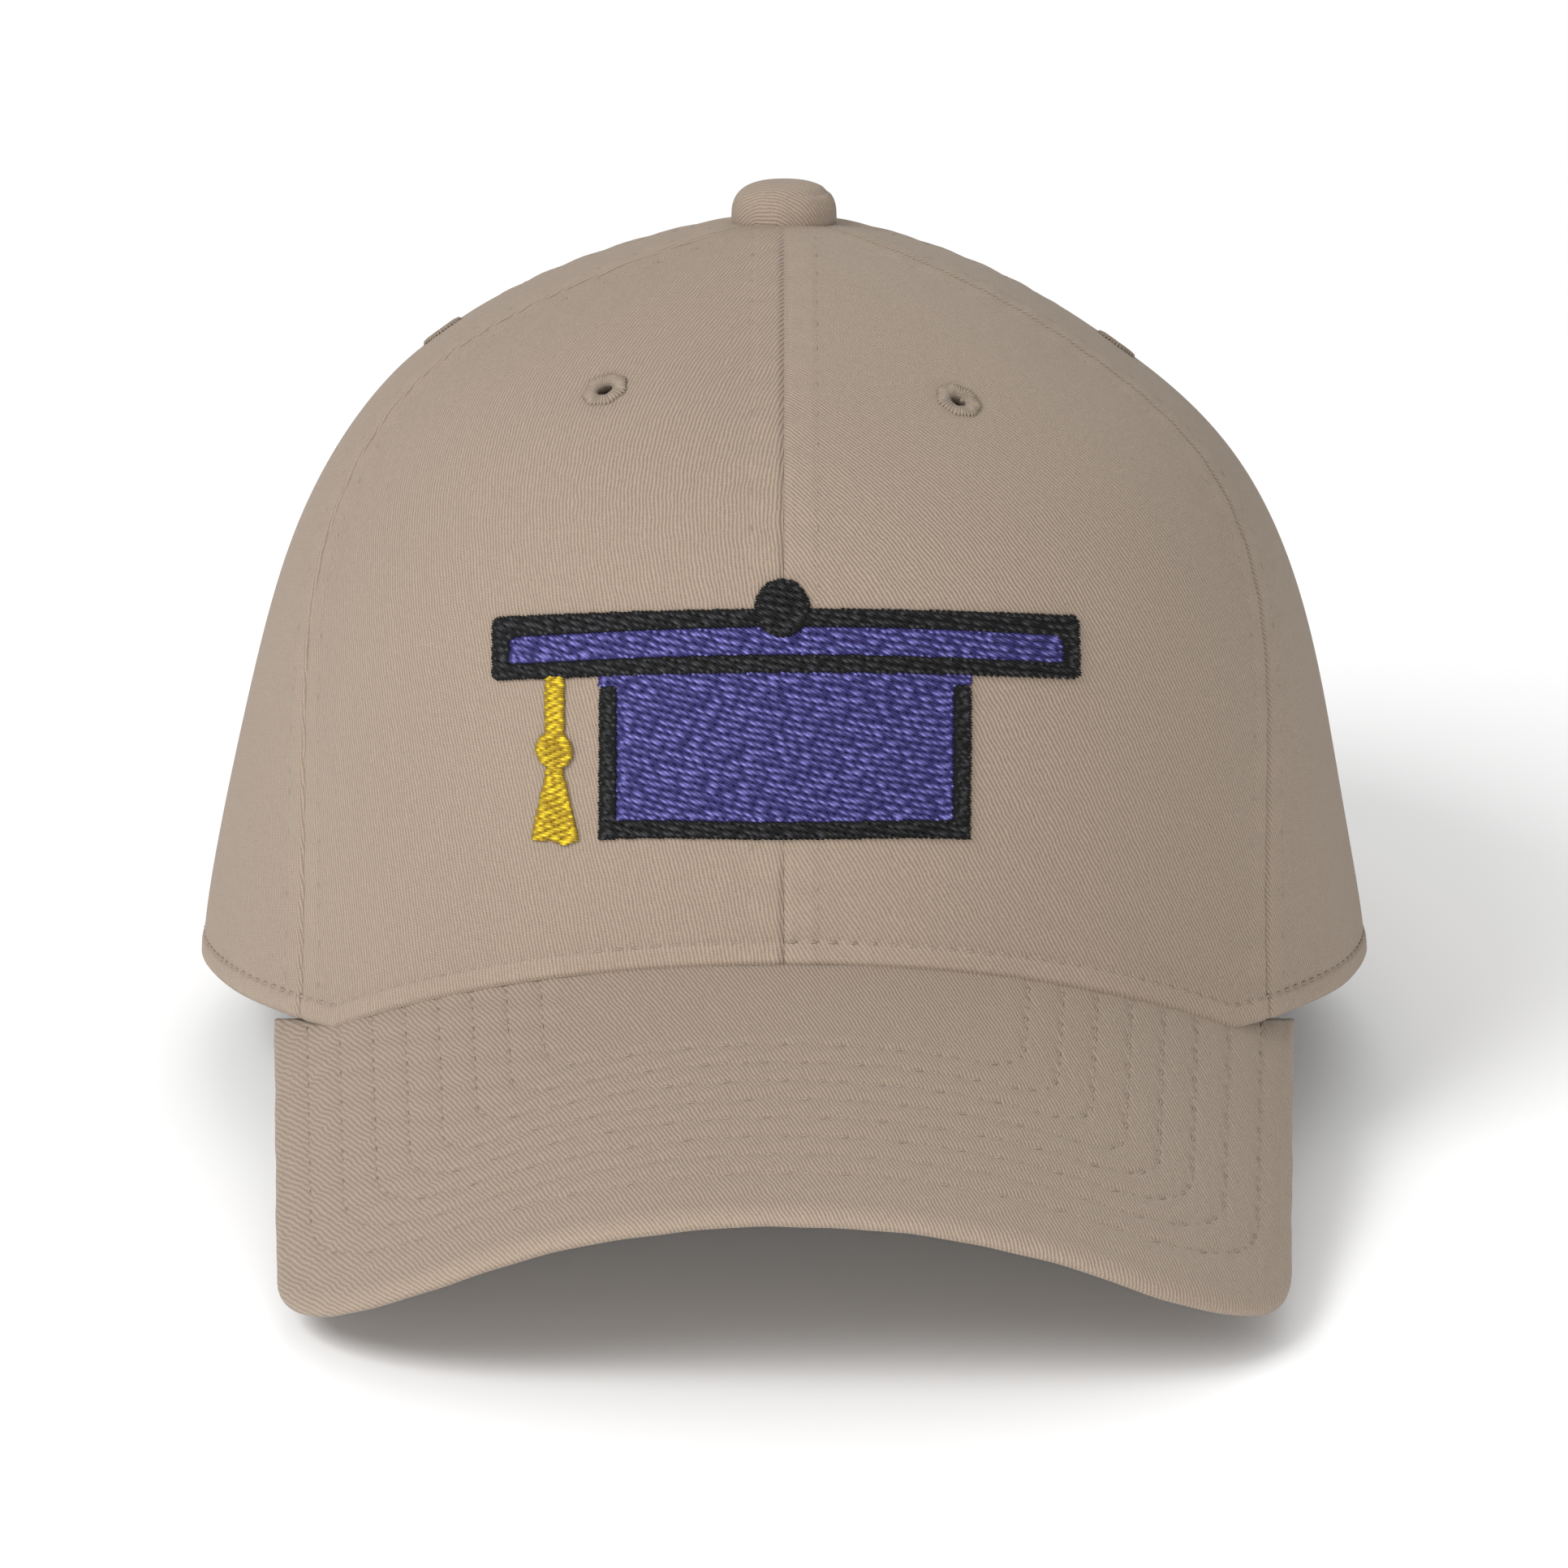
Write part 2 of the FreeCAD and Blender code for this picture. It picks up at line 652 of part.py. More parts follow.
cover_cloth = size("button_cloth_thickness")
metal = size("button_metal_thickness")
shell_outside = turned("button_shell_outside", button_outline(cover_cloth))
shell_inside = turned("button_shell_inside", button_outline(cover_cloth + metal))
cover_blank = cut(turned("button_cover_outside", button_outline(0.0)), dome(0.0))
core = cut(shell_outside, dome(-cover_cloth))
hollow = cut(shell_inside, dome(-cover_cloth - metal))
keep(cut(cover_blank, core, shank_bore), "button_cover")
keep(cut(core, hollow, shank_bore), "button_shell")

seat_depth = f"{CLOTH_INNER} + sizes.button_rim_drop"
washer_bottom = f"{seat_depth} + sizes.washer_thickness"
washer = disc("sizes.washer_radius", f"{washer_bottom}", washer_bottom)
keep(cut(common(washer, dome(CLOTH_INNER)), shank_bore), "button_washer")
shank_rules = f"{washer_bottom} + sizes.button_height / 2"
shank = disc("sizes.shank_radius", shank_rules, washer_bottom)
rivet_head = disc("sizes.rivet_head_radius", "sizes.rivet_head_height",
                  f"{washer_bottom} + sizes.rivet_head_height")
collar = disc("sizes.rivet_head_radius", "sizes.rivet_head_height",
              "-sizes.button_height / 2 + sizes.rivet_head_height")
keep(fuse(shank, rivet_head, collar), "button_shank")

# ---------------------------------------------------------------------------------
# Visor: a stiff board between an upper cover that wraps its edge and an under cover
# ---------------------------------------------------------------------------------
cover_rule = "sizes.visor_cover_thickness"
board_bottom_rule = "sizes.visor_cover_thickness + sizes.visor_board_thickness"
bottom_rule = "2 * sizes.visor_cover_thickness + sizes.visor_board_thickness"
root_cutter = dome(BAND_OUTER)
full_outline = visor_outline("0", "0")
core_outline = visor_outline(cover_rule, cover_rule)

whole_visor = visor_layer("0", bottom_rule, full_outline)
visor_core = visor_layer(cover_rule, f"2 * ({bottom_rule})", core_outline)
board = visor_layer(cover_rule, board_bottom_rule, core_outline)
under_cover = visor_layer(board_bottom_rule, bottom_rule, core_outline)
keep(cut(whole_visor, visor_core, root_cutter), "visor_top_cover")
keep(cut(board, root_cutter), "visor_board")
keep(cut(under_cover, root_cutter), "visor_under_cover")

thread_leaf = cut(visor_cylinder("sizes.stitch_height"), visor_cylinder("0"))
visor_rows = []
for number in range(int(size("visor_row_count"))):
    inward = f"{number} * sizes.visor_row_spacing"
    edges = [visor_outline(f"sizes.visor_first_row_front + {inward} + ({half_thread})",
                           f"sizes.visor_first_row_side + {inward} + ({half_thread})")
             for half_thread in ("-sizes.stitch_width / 2", "sizes.stitch_width / 2")]
    row = cut(common(thread_leaf, edges[0]), edges[1], dome(0.0))
    visor_rows.append(row)
keep(group(*visor_rows), "visor_stitch_rows")


# ---------------------------------------------------------------------------------
# Embroidered mortarboard: flat outlines carried onto the front of the crown
# ---------------------------------------------------------------------------------
def drawn(name, geometry):
    """A body as deep as the crown's front, from a closed outline in the front view."""
    body = doc.addObject("PartDesign::Body", name)
    plane = [feature for feature in body.Origin.OriginFeatures
             if feature.Role == "XZ_Plane"][0]
    sketch = body.newObject("Sketcher::SketchObject", f"{name}_sketch")
    sketch.AttachmentSupport = (plane, [""])
    sketch.MapMode = "FlatFace"
    sketch.addGeometry(geometry, False)
    pad = body.newObject("PartDesign::Pad", f"{name}_pad")
    pad.Profile = sketch
    bind(pad, Length="sizes.crown_half_length + 10")
    return body


def closed_lines(points):
    """Straight edges through the points and back to the first one."""
    corners = [Vector(x, z, 0.0) for x, z in points]
    return [Part.LineSegment(corners[i], corners[(i + 1) % len(corners)])
            for i in range(len(corners))]


def bowed_slab(half_width, top, bottom, drop):
    """Outline of a wide slab whose ends hang lower than its middle."""
    corners = [Vector(-half_width, bottom - drop, 0), Vector(half_width, bottom - drop, 0),
               Vector(half_width, top - drop, 0), Vector(-half_width, top - drop, 0)]
    return [Part.Arc(corners[0], Vector(0, bottom, 0), corners[1]),
            Part.LineSegment(corners[1], corners[2]),
            Part.Arc(corners[2], Vector(0, top, 0), corners[3]),
            Part.LineSegment(corners[3], corners[0])]


line_width = size("embroidery_line_width")
board_top = size("board_top_level")
board_bottom = size("board_bottom_level")
board_half = size("board_half_width")
end_drop = size("board_end_drop")
skull_half = size("skull_half_width")
skull_bottom = size("skull_bottom_level")
tassel_x = size("tassel_center")

outline_shell = shell(-size("embroidery_height"), 0.0)
fill_shell = shell(-size("embroidery_fill_height"), 0.0)
board_outer = drawn("board_outer", bowed_slab(board_half, board_top, board_bottom, end_drop))
board_inner = drawn("board_inner", bowed_slab(
    board_half - line_width, board_top - line_width, board_bottom + line_width, end_drop))
keep(common(outline_shell, cut(board_outer, board_inner)), "embroidery_board_outline")

dot_circle = Part.Circle(Vector(0, board_top, 0), Vector(0, 0, 1), size("dot_radius"))
dot = drawn("dot_outline", [dot_circle])
keep(common(outline_shell, cut(dot, board_outer)), "embroidery_button_dot")
keep(common(fill_shell, board_inner), "embroidery_board_fill")

strip_top = size("skull_strip_top_level")
skull_top = board_bottom + 1.0
skull_inner = skull_half - line_width
skull = drawn("skull_outer", closed_lines([
    (-skull_half, skull_bottom), (skull_half, skull_bottom),
    (skull_half, skull_top), (-skull_half, skull_top)]))
skull_strips = drawn("skull_strips", closed_lines([
    (-skull_half, skull_bottom), (skull_half, skull_bottom),
    (skull_half, strip_top), (skull_inner, strip_top),
    (skull_inner, skull_bottom + line_width), (-skull_inner, skull_bottom + line_width),
    (-skull_inner, strip_top), (-skull_half, strip_top)]))
keep(common(outline_shell, skull_strips), "embroidery_skull_outline")
keep(common(fill_shell, cut(skull, skull_strips, board_outer)), "embroidery_skull_fill")

half_cord = 0.5 * size("tassel_cord_width")
knot_level = size("tassel_knot_level")
knot_radius = size("tassel_knot_radius")
half_skirt = 0.5 * size("tassel_skirt_width")
cord_shape = drawn("tassel_cord_outline", closed_lines([
    (tassel_x - half_cord, knot_level), (tassel_x + half_cord, knot_level),
    (tassel_x + half_cord, board_bottom), (tassel_x - half_cord, board_bottom)]))
knot_shape = drawn("tassel_knot_outline", [
    Part.Circle(Vector(tassel_x, knot_level, 0), Vector(0, 0, 1), knot_radius)])
skirt_shape = drawn("tassel_skirt_outline", closed_lines([
    (tassel_x - half_skirt, size("tassel_bottom_level")),
    (tassel_x + half_skirt, size("tassel_bottom_level")),
    (tassel_x + 0.5 * half_cord, knot_level), (tassel_x - 0.5 * half_cord, knot_level)]))
keep(common(outline_shell, cut(cord_shape, board_outer, knot_shape)),
     "embroidery_tassel_cord")
keep(common(outline_shell, knot_shape), "embroidery_tassel_knot")
keep(common(outline_shell, cut(skirt_shape, knot_shape)), "embroidery_tassel_skirt")

margin = 4.0
backing_outline = drawn("backing_outline", closed_lines([
    (-board_half - margin, skull_bottom - margin), (board_half + margin, skull_bottom - margin),
    (board_half + margin, board_top + margin), (-board_half - margin, board_top + margin)]))
tape_slab = seam_strip("front_center", 1, -half_tape, half_tape, 0.0)
backing_shell = shell(BUCKRAM_INNER, BACKING_INNER)
backing_blank = cut(backing_outline, tape_slab, band_zone)
keep(common(backing_shell, backing_blank), "embroidery_backing")

# ---------------------------------------------------------------------------------
# Build, stand the cap up, check every object and write the sub-parts
# ---------------------------------------------------------------------------------
doc.recompute()


def outer_points():
    """Fine points of the parts that reach furthest on every side."""
    reaching = ("visor_top_cover", "back_panel", "side_panel", "button_cover")
    chosen = [part for part in subparts if part.Label.startswith(reaching)]
    return [point for part in chosen for point in part.Shape.tessellate(0.05)[0]]


points = outer_points()
heel = crown_point(180.0, 0.0)
nose_up = max(math.degrees(math.atan2(-point.z, heel.y - point.y))
              for point in points if point.y < 0.0)
tilt = Rotation(Vector(1, 0, 0), -nose_up)
turned = [tilt.multVec(point) for point in points]
middle_y = 0.5 * (min(point.y for point in turned) + max(point.y for point in turned))
shift = Vector(0.0, -middle_y, -min(point.z for point in turned))
stand = Placement(shift, tilt)
for part in subparts:
    part.Placement = stand.multiply(part.Placement)
    part.purgeTouched()

problems = []
for thing in doc.Objects:
    if "Invalid" in thing.State or "Error" in thing.State:
        problems.append(f"{thing.Name} {thing.Label}: {thing.State}")
for part in subparts:
    if part.Shape.isNull() or not part.Shape.isValid() or not part.Shape.Solids:
        problems.append(f"{part.Label}: no valid solid")
if problems:
    raise RuntimeError("; ".join(problems))

os.makedirs("parts", exist_ok=True)
for part in subparts:
    part.Shape.exportStep(f"parts/{part.Label}.step")
    print(part.Label, len(part.Shape.Solids), round(part.Shape.Volume, 1))
print("standing tilt", tilt.Angle, "shift", shift)
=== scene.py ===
"""A structured baseball cap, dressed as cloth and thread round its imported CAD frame.

Shapes are worked out in the cap's hem frame, in millimetres: X to the right of the front
view, Y to the back, Z up, with the flat part of the hem at Z = 0.  `Stand` carries them
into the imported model's frame, in metres, where the cap leans back on its visor corners.
"""

import logging
import math
from dataclasses import dataclass, field
from enum import Enum
from typing import Callable, Sequence

import bmesh
import bpy
import numpy as np
from mathutils import Matrix, Vector


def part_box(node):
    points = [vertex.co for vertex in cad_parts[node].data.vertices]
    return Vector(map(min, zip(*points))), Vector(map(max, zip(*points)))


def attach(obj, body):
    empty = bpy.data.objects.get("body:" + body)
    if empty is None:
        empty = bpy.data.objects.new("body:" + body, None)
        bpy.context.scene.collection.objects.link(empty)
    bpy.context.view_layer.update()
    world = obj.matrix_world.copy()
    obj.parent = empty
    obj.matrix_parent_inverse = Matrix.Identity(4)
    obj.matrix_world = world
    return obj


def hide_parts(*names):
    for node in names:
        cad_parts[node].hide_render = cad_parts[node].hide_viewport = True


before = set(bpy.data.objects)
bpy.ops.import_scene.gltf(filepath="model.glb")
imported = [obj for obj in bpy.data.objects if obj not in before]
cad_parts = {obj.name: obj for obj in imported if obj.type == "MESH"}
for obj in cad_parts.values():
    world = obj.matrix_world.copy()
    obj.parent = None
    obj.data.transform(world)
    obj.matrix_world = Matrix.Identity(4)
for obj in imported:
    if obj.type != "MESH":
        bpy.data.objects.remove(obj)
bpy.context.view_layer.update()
MM = 0.001
LOG = logging.getLogger("cap")
Array = np.ndarray
LEAN_DEGREES = 8.7136       # nose-up lean of the hem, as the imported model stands
SHANK_DEPTH = 2.0           # middle of the button's shank under the crown's top, mm
EYELET_LEVEL = 0.822        # height of every eyelet, as a share of the crown's
ROUND_RADIUS = 95.0         # mean radius of the hem, which turns angles into cloth, mm
SIDES = ((-1, "left"), (1, "right"))
LABEL_RADIUS = 105.0        # the same at the back, under the label, mm


# ----------------------------------------------------------------------------------
# Small numeric helpers
# ----------------------------------------------------------------------------------
def smooth(start: float, end: float, value: Array) -> Array:
    """Soft step from 0 at `start` to 1 at `end`."""
    share = np.clip((np.asarray(value, float) - start) / (end - start), 0.0, 1.0)
    return share * share * (3.0 - 2.0 * share)


def bump(center: float, width: float, value: Array) -> Array:
    """Bell curve that is 1 at `center`."""
    return np.exp(-((np.asarray(value, float) - center) / width) ** 2)


def unit(vectors: Array) -> Array:
    """Vectors scaled to length 1."""
    return vectors / np.maximum(np.linalg.norm(vectors, axis=-1, keepdims=True), 1e-9)


def crowded(count: int, strength: float) -> Array:
    """Shares from 0 to 1 that crowd towards both ends."""
    even = np.linspace(0.0, 1.0, count)
    return even - strength * np.sin(2.0 * math.pi * even) / (2.0 * math.pi)


def run_length(points: Array, axis: int = 0) -> Array:
    """Distance covered along lines of points, from 0 at each line's start.

    Args:
        points: The points of the lines.
        axis: Which axis of `points` steps along the lines.

    Returns:
        The distance at every point.
    """
    steps = np.linalg.norm(np.diff(points, axis=axis), axis=-1)
    start = np.zeros_like(np.take(steps, [0], axis=axis))
    return np.concatenate([start, np.cumsum(steps, axis=axis)], axis=axis)


def resample(points: Array, count: int) -> Array:
    """Points spread evenly along a polyline.

    Args:
        points: The polyline, one row per point.
        count: How many points to return, both ends included.

    Returns:
        An array of `count` points.
    """
    along = run_length(points)
    wanted = np.linspace(0.0, along[-1], count)
    return np.stack([np.interp(wanted, along, points[:, i])
                     for i in range(points.shape[1])], -1)


# ----------------------------------------------------------------------------------
# The cap's shape
# ----------------------------------------------------------------------------------
@dataclass(frozen=True)
class Profile:
    """How one half axis of the crown's oval shrinks from the hem to the top."""

    half: float
    lean: float
    power: float
    roundness: float

    def at(self, level: Array) -> Array:
        """Half axis in mm at a level from 0, the hem, to 1, the top.

        Args:
            level: Share of the height, from 0 at the hem to 1 at the top.

        Returns:
            The half axis, shaped like `level`.
        """
        rise = np.clip(level, 0.0, 0.99999)
        shoulder = (1.0 - rise ** self.power) ** (1.0 / self.roundness)
        return self.half * (1.0 - self.lean * rise) * shoulder


@dataclass(frozen=True)
class Crown:
    """The outer cloth surface of the crown, and every point near it."""

    width: Profile = Profile(96.6, 0.231, 5.345, 1.31)
    length: Profile = Profile(105.0, 0.12, 4.4, 1.5)
    height: float = 122.3
    top_shift: float = -3.0
    shoulder_lean: float = 1.4
    shoulder_level: float = 102.0
    hem_tuck: float = 1.1
    tuck_height: float = 6.0

    def bare(self, degrees: Array, level: Array) -> Array:
        """Point of the ideal surface, `degrees` round from the middle of the front.

        Args:
            degrees: Angle round the oval from the middle of the front.
            level: Share of the height, from 0 at the hem to 1 at the top.

        Returns:
            Points in the hem frame.
        """
        angle = np.radians(degrees)
        x = self.width.at(level) * np.sin(angle)
        y = self.top_shift * np.clip(level, 0.0, 1.0) ** 2
        y = y - self.length.at(level) * np.cos(angle)
        return np.stack(np.broadcast_arrays(x, y, self.height * np.asarray(level)), -1)

    def normal(self, degrees: Array, level: Array) -> Array:
        """Unit vector out of the crown at a point of its surface.

        Args:
            degrees: Angle round the oval from the middle of the front.
            level: Share of the height, from 0 at the hem to 1 at the top.

        Returns:
            One unit vector per point.
        """
        turn, climb = 0.05, 0.0015
        low, high = np.asarray(level) - climb, np.minimum(np.asarray(level) + climb, 0.99998)
        around = self.bare(degrees + turn, level) - self.bare(degrees - turn, level)
        upward = self.bare(degrees, high) - self.bare(degrees, np.maximum(low, 0.0))
        return unit(np.cross(around, upward))

    def wobble(self, point: Array) -> Array:
        """Hand-made unevenness in mm, the same for every layer of the crown.

        Args:
            point: Points of the ideal surface.

        Returns:
            Distance outwards at each point.
        """
        x, y, z = point[..., 0], point[..., 1], point[..., 2]
        side = np.tanh(x / 30.0)
        lean = -self.shoulder_lean * side * bump(self.shoulder_level, 15.0, z)
        lean = lean + 0.5 * side * bump(50.0, 26.0, z)
        wave = 0.30 * np.sin(x / 23.0 + 0.7) * np.sin(z / 17.0 + y / 41.0)
        wave = wave + 0.22 * np.sin(y / 19.0 + z / 29.0 + 1.9)
        tuck = -self.hem_tuck * np.exp(-z / self.tuck_height) * smooth(-80.0, -45.0, y)
        return lean + tuck + wave * (1.0 - smooth(96.0, 124.0, z))

    def surface(self, degrees: Array, level: Array, lift: Array = 0.0) -> Array:
        """Point `lift` mm outside the real, slightly uneven surface.

        Args:
            degrees: Angle round the oval from the middle of the front.
            level: Share of the height, from 0 at the hem to 1 at the top.
            lift: Distance outside the surface in mm.

        Returns:
            Points in the hem frame.
        """
        degrees, level = np.broadcast_arrays(np.asarray(degrees, float),
                                             np.asarray(level, float))
        point = self.bare(degrees, level)
        height = np.asarray(lift + self.wobble(point))[..., None]
        return point + self.normal(degrees, level) * height

    def climb_table(self) -> tuple[Array, Array]:
        """Levels and the length of cloth from the hem up to them, at the side.

        Returns:
            The levels, and the length at each of them in mm.
        """
        level = 1.0 - (1.0 - np.linspace(0.0, 0.9995, 600)) ** 1.5
        path = self.bare(np.full_like(level, 90.0), level)
        return level, run_length(path)

    def level_at(self, climb: Array) -> Array:
        """Level reached after `climb` mm of cloth from the hem."""
        level, length = self.climb_table()
        return np.interp(climb, length, level)

    def climb_at(self, level: Array) -> Array:
        """Length of cloth in mm from the hem up to a level."""
        levels, length = self.climb_table()
        return np.interp(level, levels, length)

    def beside(self, base: Array, level: Array, offset: Array) -> Array:
        """Angles `offset` mm round the crown from base angles.

        Args:
            base: Angles round the oval from the middle of the front.
            level: Share of the height, from 0 at the hem to 1 at the top.
            offset: Distance from the base angle in mm, either way.

        Returns:
            The angles in degrees.
        """
        span = np.linalg.norm(self.bare(base + 0.5, level) - self.bare(base - 0.5, level),
                              axis=-1)
        return base + offset / span

    def front(self, x: Array, z: Array, lift: Array = 0.0) -> tuple[Array, Array]:
        """Point and normal of the crown's front where the front view shows (x, z).

        Args:
            x: Place to the right of the middle, in mm.
            z: Height above the hem, in mm.
            lift: Distance outside the surface in mm.

        Returns:
            The points and their unit vectors.
        """
        level = np.asarray(z, float) / self.height
        share = np.clip(np.asarray(x, float) / self.width.at(level), -0.98, 0.98)
        degrees = np.degrees(np.arcsin(share))
        return self.surface(degrees, level, lift), self.normal(degrees, level)


@dataclass(frozen=True)
class Seam:
    """A seam of the crown: its angle round the oval at every level."""

    hem: float
    top: float
    bow: float = 0.0

    def degrees(self, level: Array) -> Array:
        """Angle from the middle of the front, on the positive side.

        Args:
            level: Share of the height, from 0 at the hem to 1 at the top.

        Returns:
            The angle at each level.
        """
        rise = np.clip(level, 0.0, 1.0)
        bowed = self.bow * rise ** 1.7 * (1.0 - rise ** 5)
        return self.hem + (self.top - self.hem) * rise + bowed


FRONT_CENTER = Seam(0.0, 0.0)
FRONT_SIDE = Seam(54.0, 60.0, 30.0)
BACK_SIDE = Seam(118.0, 120.0, -8.0)
BACK_CENTER = Seam(180.0, 180.0)


@dataclass(frozen=True)
class VisorShape:
    """The visor's outline and its curved surface, in a frame at the middle of its root."""

    half_width: float = 79.9
    rear_half_width: float = 84.2
    rear: float = 68.25
    length: float = 70.5
    root_height: float = 16.7
    pitch: float = math.radians(21.4)
    curve_radius: float = 107.5
    corner_radius: float = 34.0
    front_radius: float = 340.0
    thickness: float = 3.6
    first_row_front: float = 11.5
    first_row_side: float = 6.0
    row_spacing: float = 5.2
    row_count: int = 8
    least_corner: float = 8.0

    def root(self, crown: Crown) -> Array:
        """Hem-frame point at the middle of the root."""
        return crown.bare(0.0, self.root_height / crown.height)

    def height(self, crown: Crown, point: Array, lift: float = 0.0) -> Array:
        """Height of the surface `lift` above the visor, over a point of the hem frame.

        Args:
            crown: The crown that the visor is sewn to.
            point: Points of the hem frame.
            lift: Distance above the visor in mm.

        Returns:
            The height at each point in mm.
        """
        root = self.root(crown)
        radius = self.curve_radius + lift
        drop = np.sqrt(np.maximum(radius ** 2 - point[..., 0] ** 2, 1.0)) - self.curve_radius
        rise = (point[..., 1] - root[1]) * math.sin(self.pitch)
        return root[2] + (drop + rise) / math.cos(self.pitch)

    def place(self, crown: Crown, flat: Array, lift: Array) -> Array:
        """Hem-frame points of flat outline points, `lift` mm above the curved surface.

        Args:
            crown: The crown that the visor is sewn to.
            flat: Points of the flat outline, across and along.
            lift: Distance above the curved surface in mm.

        Returns:
            The points on the bent visor.
        """
        x, y = flat[..., 0], flat[..., 1]
        slope = np.clip(x / self.curve_radius, -0.95, 0.95)
        upright = np.sqrt(1.0 - slope ** 2)
        local_x = x + slope * lift
        local_z = self.curve_radius * (upright - 1.0) + upright * lift
        cos, sin = math.cos(self.pitch), math.sin(self.pitch)
        root = self.root(crown)
        return np.stack(np.broadcast_arrays(
            local_x, root[1] + y * cos - local_z * sin, root[2] + y * sin + local_z * cos), -1)

    def normal(self, flat: Array) -> Array:
        """Unit vector out of the visor's upper surface, in the hem frame.

        Args:
            flat: Points of the flat outline, across and along.

        Returns:
            One unit vector per point.
        """
        slope = np.clip(flat[..., 0] / self.curve_radius, -0.95, 0.95)
        upright = np.sqrt(1.0 - slope ** 2)
        return np.stack([slope, -upright * math.sin(self.pitch),
                         upright * math.cos(self.pitch)], -1)

    def root_line(self, crown: Crown, depth: float) -> Array:
        """Flat points where the visor passes `depth` under the crown's cloth.

        Args:
            crown: The crown that the visor is sewn to.
            depth: Distance under the crown's cloth in mm.

        Returns:
            Points across and along the flat visor.
        """
        degrees = np.linspace(-75.0, 75.0, 241)
        level = np.zeros_like(degrees)
        for _ in range(12):
            point = crown.surface(degrees, level, -depth)
            level = np.clip(self.height(crown, point) / crown.height, 0.0, 0.5)
        point = crown.surface(degrees, level, -depth) - self.root(crown)
        cos, sin = math.cos(self.pitch), math.sin(self.pitch)
        return np.stack([point[:, 0], point[:, 1] * cos + point[:, 2] * sin], -1)

    def loop(self, root: Array, inset: float, count: int) -> Array:
        """U-shaped line parallel to the edge, from the root on one side to the other.

        Args:
            root: Flat points of the root line, from `root_line`.
            inset: Distance inside the edge at the visor's sides.
            count: How many points to return.

        Returns:
            Flat points from the right end of the line to its left end.
        """
        extra = (self.first_row_front - self.first_row_side) * min(
            inset / self.first_row_side, 1.0)
        half = self.half_width - inset
        corner = max(self.corner_radius - inset, self.least_corner)
        edge = self.front_radius - inset - extra
        center_y = self.front_radius - self.length
        flare = 0.0
        for _ in range(6):
            reach = half - corner * math.cos(flare)
            corner_y = center_y - math.sqrt((edge - corner) ** 2 - reach ** 2)
            touch_y = corner_y - corner * math.sin(flare)
            flare = math.atan2(self.rear_half_width - self.half_width, self.rear - touch_y)
        lean = math.atan2(reach, center_y - corner_y)
        slope = math.tan(flare)
        wide = half + slope * (root[:, 1] - touch_y)
        back = float(np.interp(0.0, (root[:, 0] - wide)[120:], root[120:, 1]))
        back = max(back, touch_y + 0.5)
        turn = np.linspace(flare, 0.5 * math.pi - lean, 24)
        swing = np.linspace(lean, 0.0, 40)
        side = np.array([[half + slope * (back - touch_y), back], [half, touch_y]])
        bend = np.stack([reach + corner * np.cos(turn), corner_y - corner * np.sin(turn)], -1)
        front = np.stack([edge * np.sin(swing), center_y - edge * np.cos(swing)], -1)
        right = np.concatenate([side, bend[1:], front[1:]])
        left = right[::-1][1:] * [-1.0, 1.0]
        line = resample(np.concatenate([right, left]), count)
        wall = np.interp(line[:, 0], root[:, 0], root[:, 1])
        line[:, 1] = np.minimum(line[:, 1], wall)
        return line


@dataclass(frozen=True)
class Stand:
    """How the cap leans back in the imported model's frame."""

    tilt: float
    shift: Array

    @classmethod
    def from_frame(cls, crown: Crown, tilt_degrees: float, shank_depth: float) -> "Stand":
        """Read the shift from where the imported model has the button's shank.

        Args:
            crown: The crown, which gives the shank's place in the hem frame.
            tilt_degrees: Nose-up lean of the hem on the floor.
            shank_depth: Distance of the shank's middle under the crown's top.

        Returns:
            The stand that carries hem-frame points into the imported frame.
        """
        low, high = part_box("button_shank")
        middle = (np.array(low) + np.array(high)) / (2.0 * MM)
        shank = np.array([0.0, crown.top_shift, crown.height - shank_depth])
        return cls(math.radians(tilt_degrees), middle - cls.turn(shank, tilt_degrees))

    @staticmethod
    def turn(points: Array, tilt_degrees: float) -> Array:
        """Points turned about X so that the front goes up.

        Args:
            points: Points or directions, in any unit.
            tilt_degrees: How far the front goes up.

        Returns:
            The turned points.
        """
        angle = math.radians(tilt_degrees)
        cos, sin = math.cos(angle), math.sin(angle)
        x, y, z = np.moveaxis(np.asarray(points, float), -1, 0)
        return np.stack([x, y * cos + z * sin, -y * sin + z * cos], -1)

    def world(self, points: Array) -> Array:
        """Hem-frame millimetres as packed-frame metres."""
        return (self.turn(points, math.degrees(self.tilt)) + self.shift) * MM


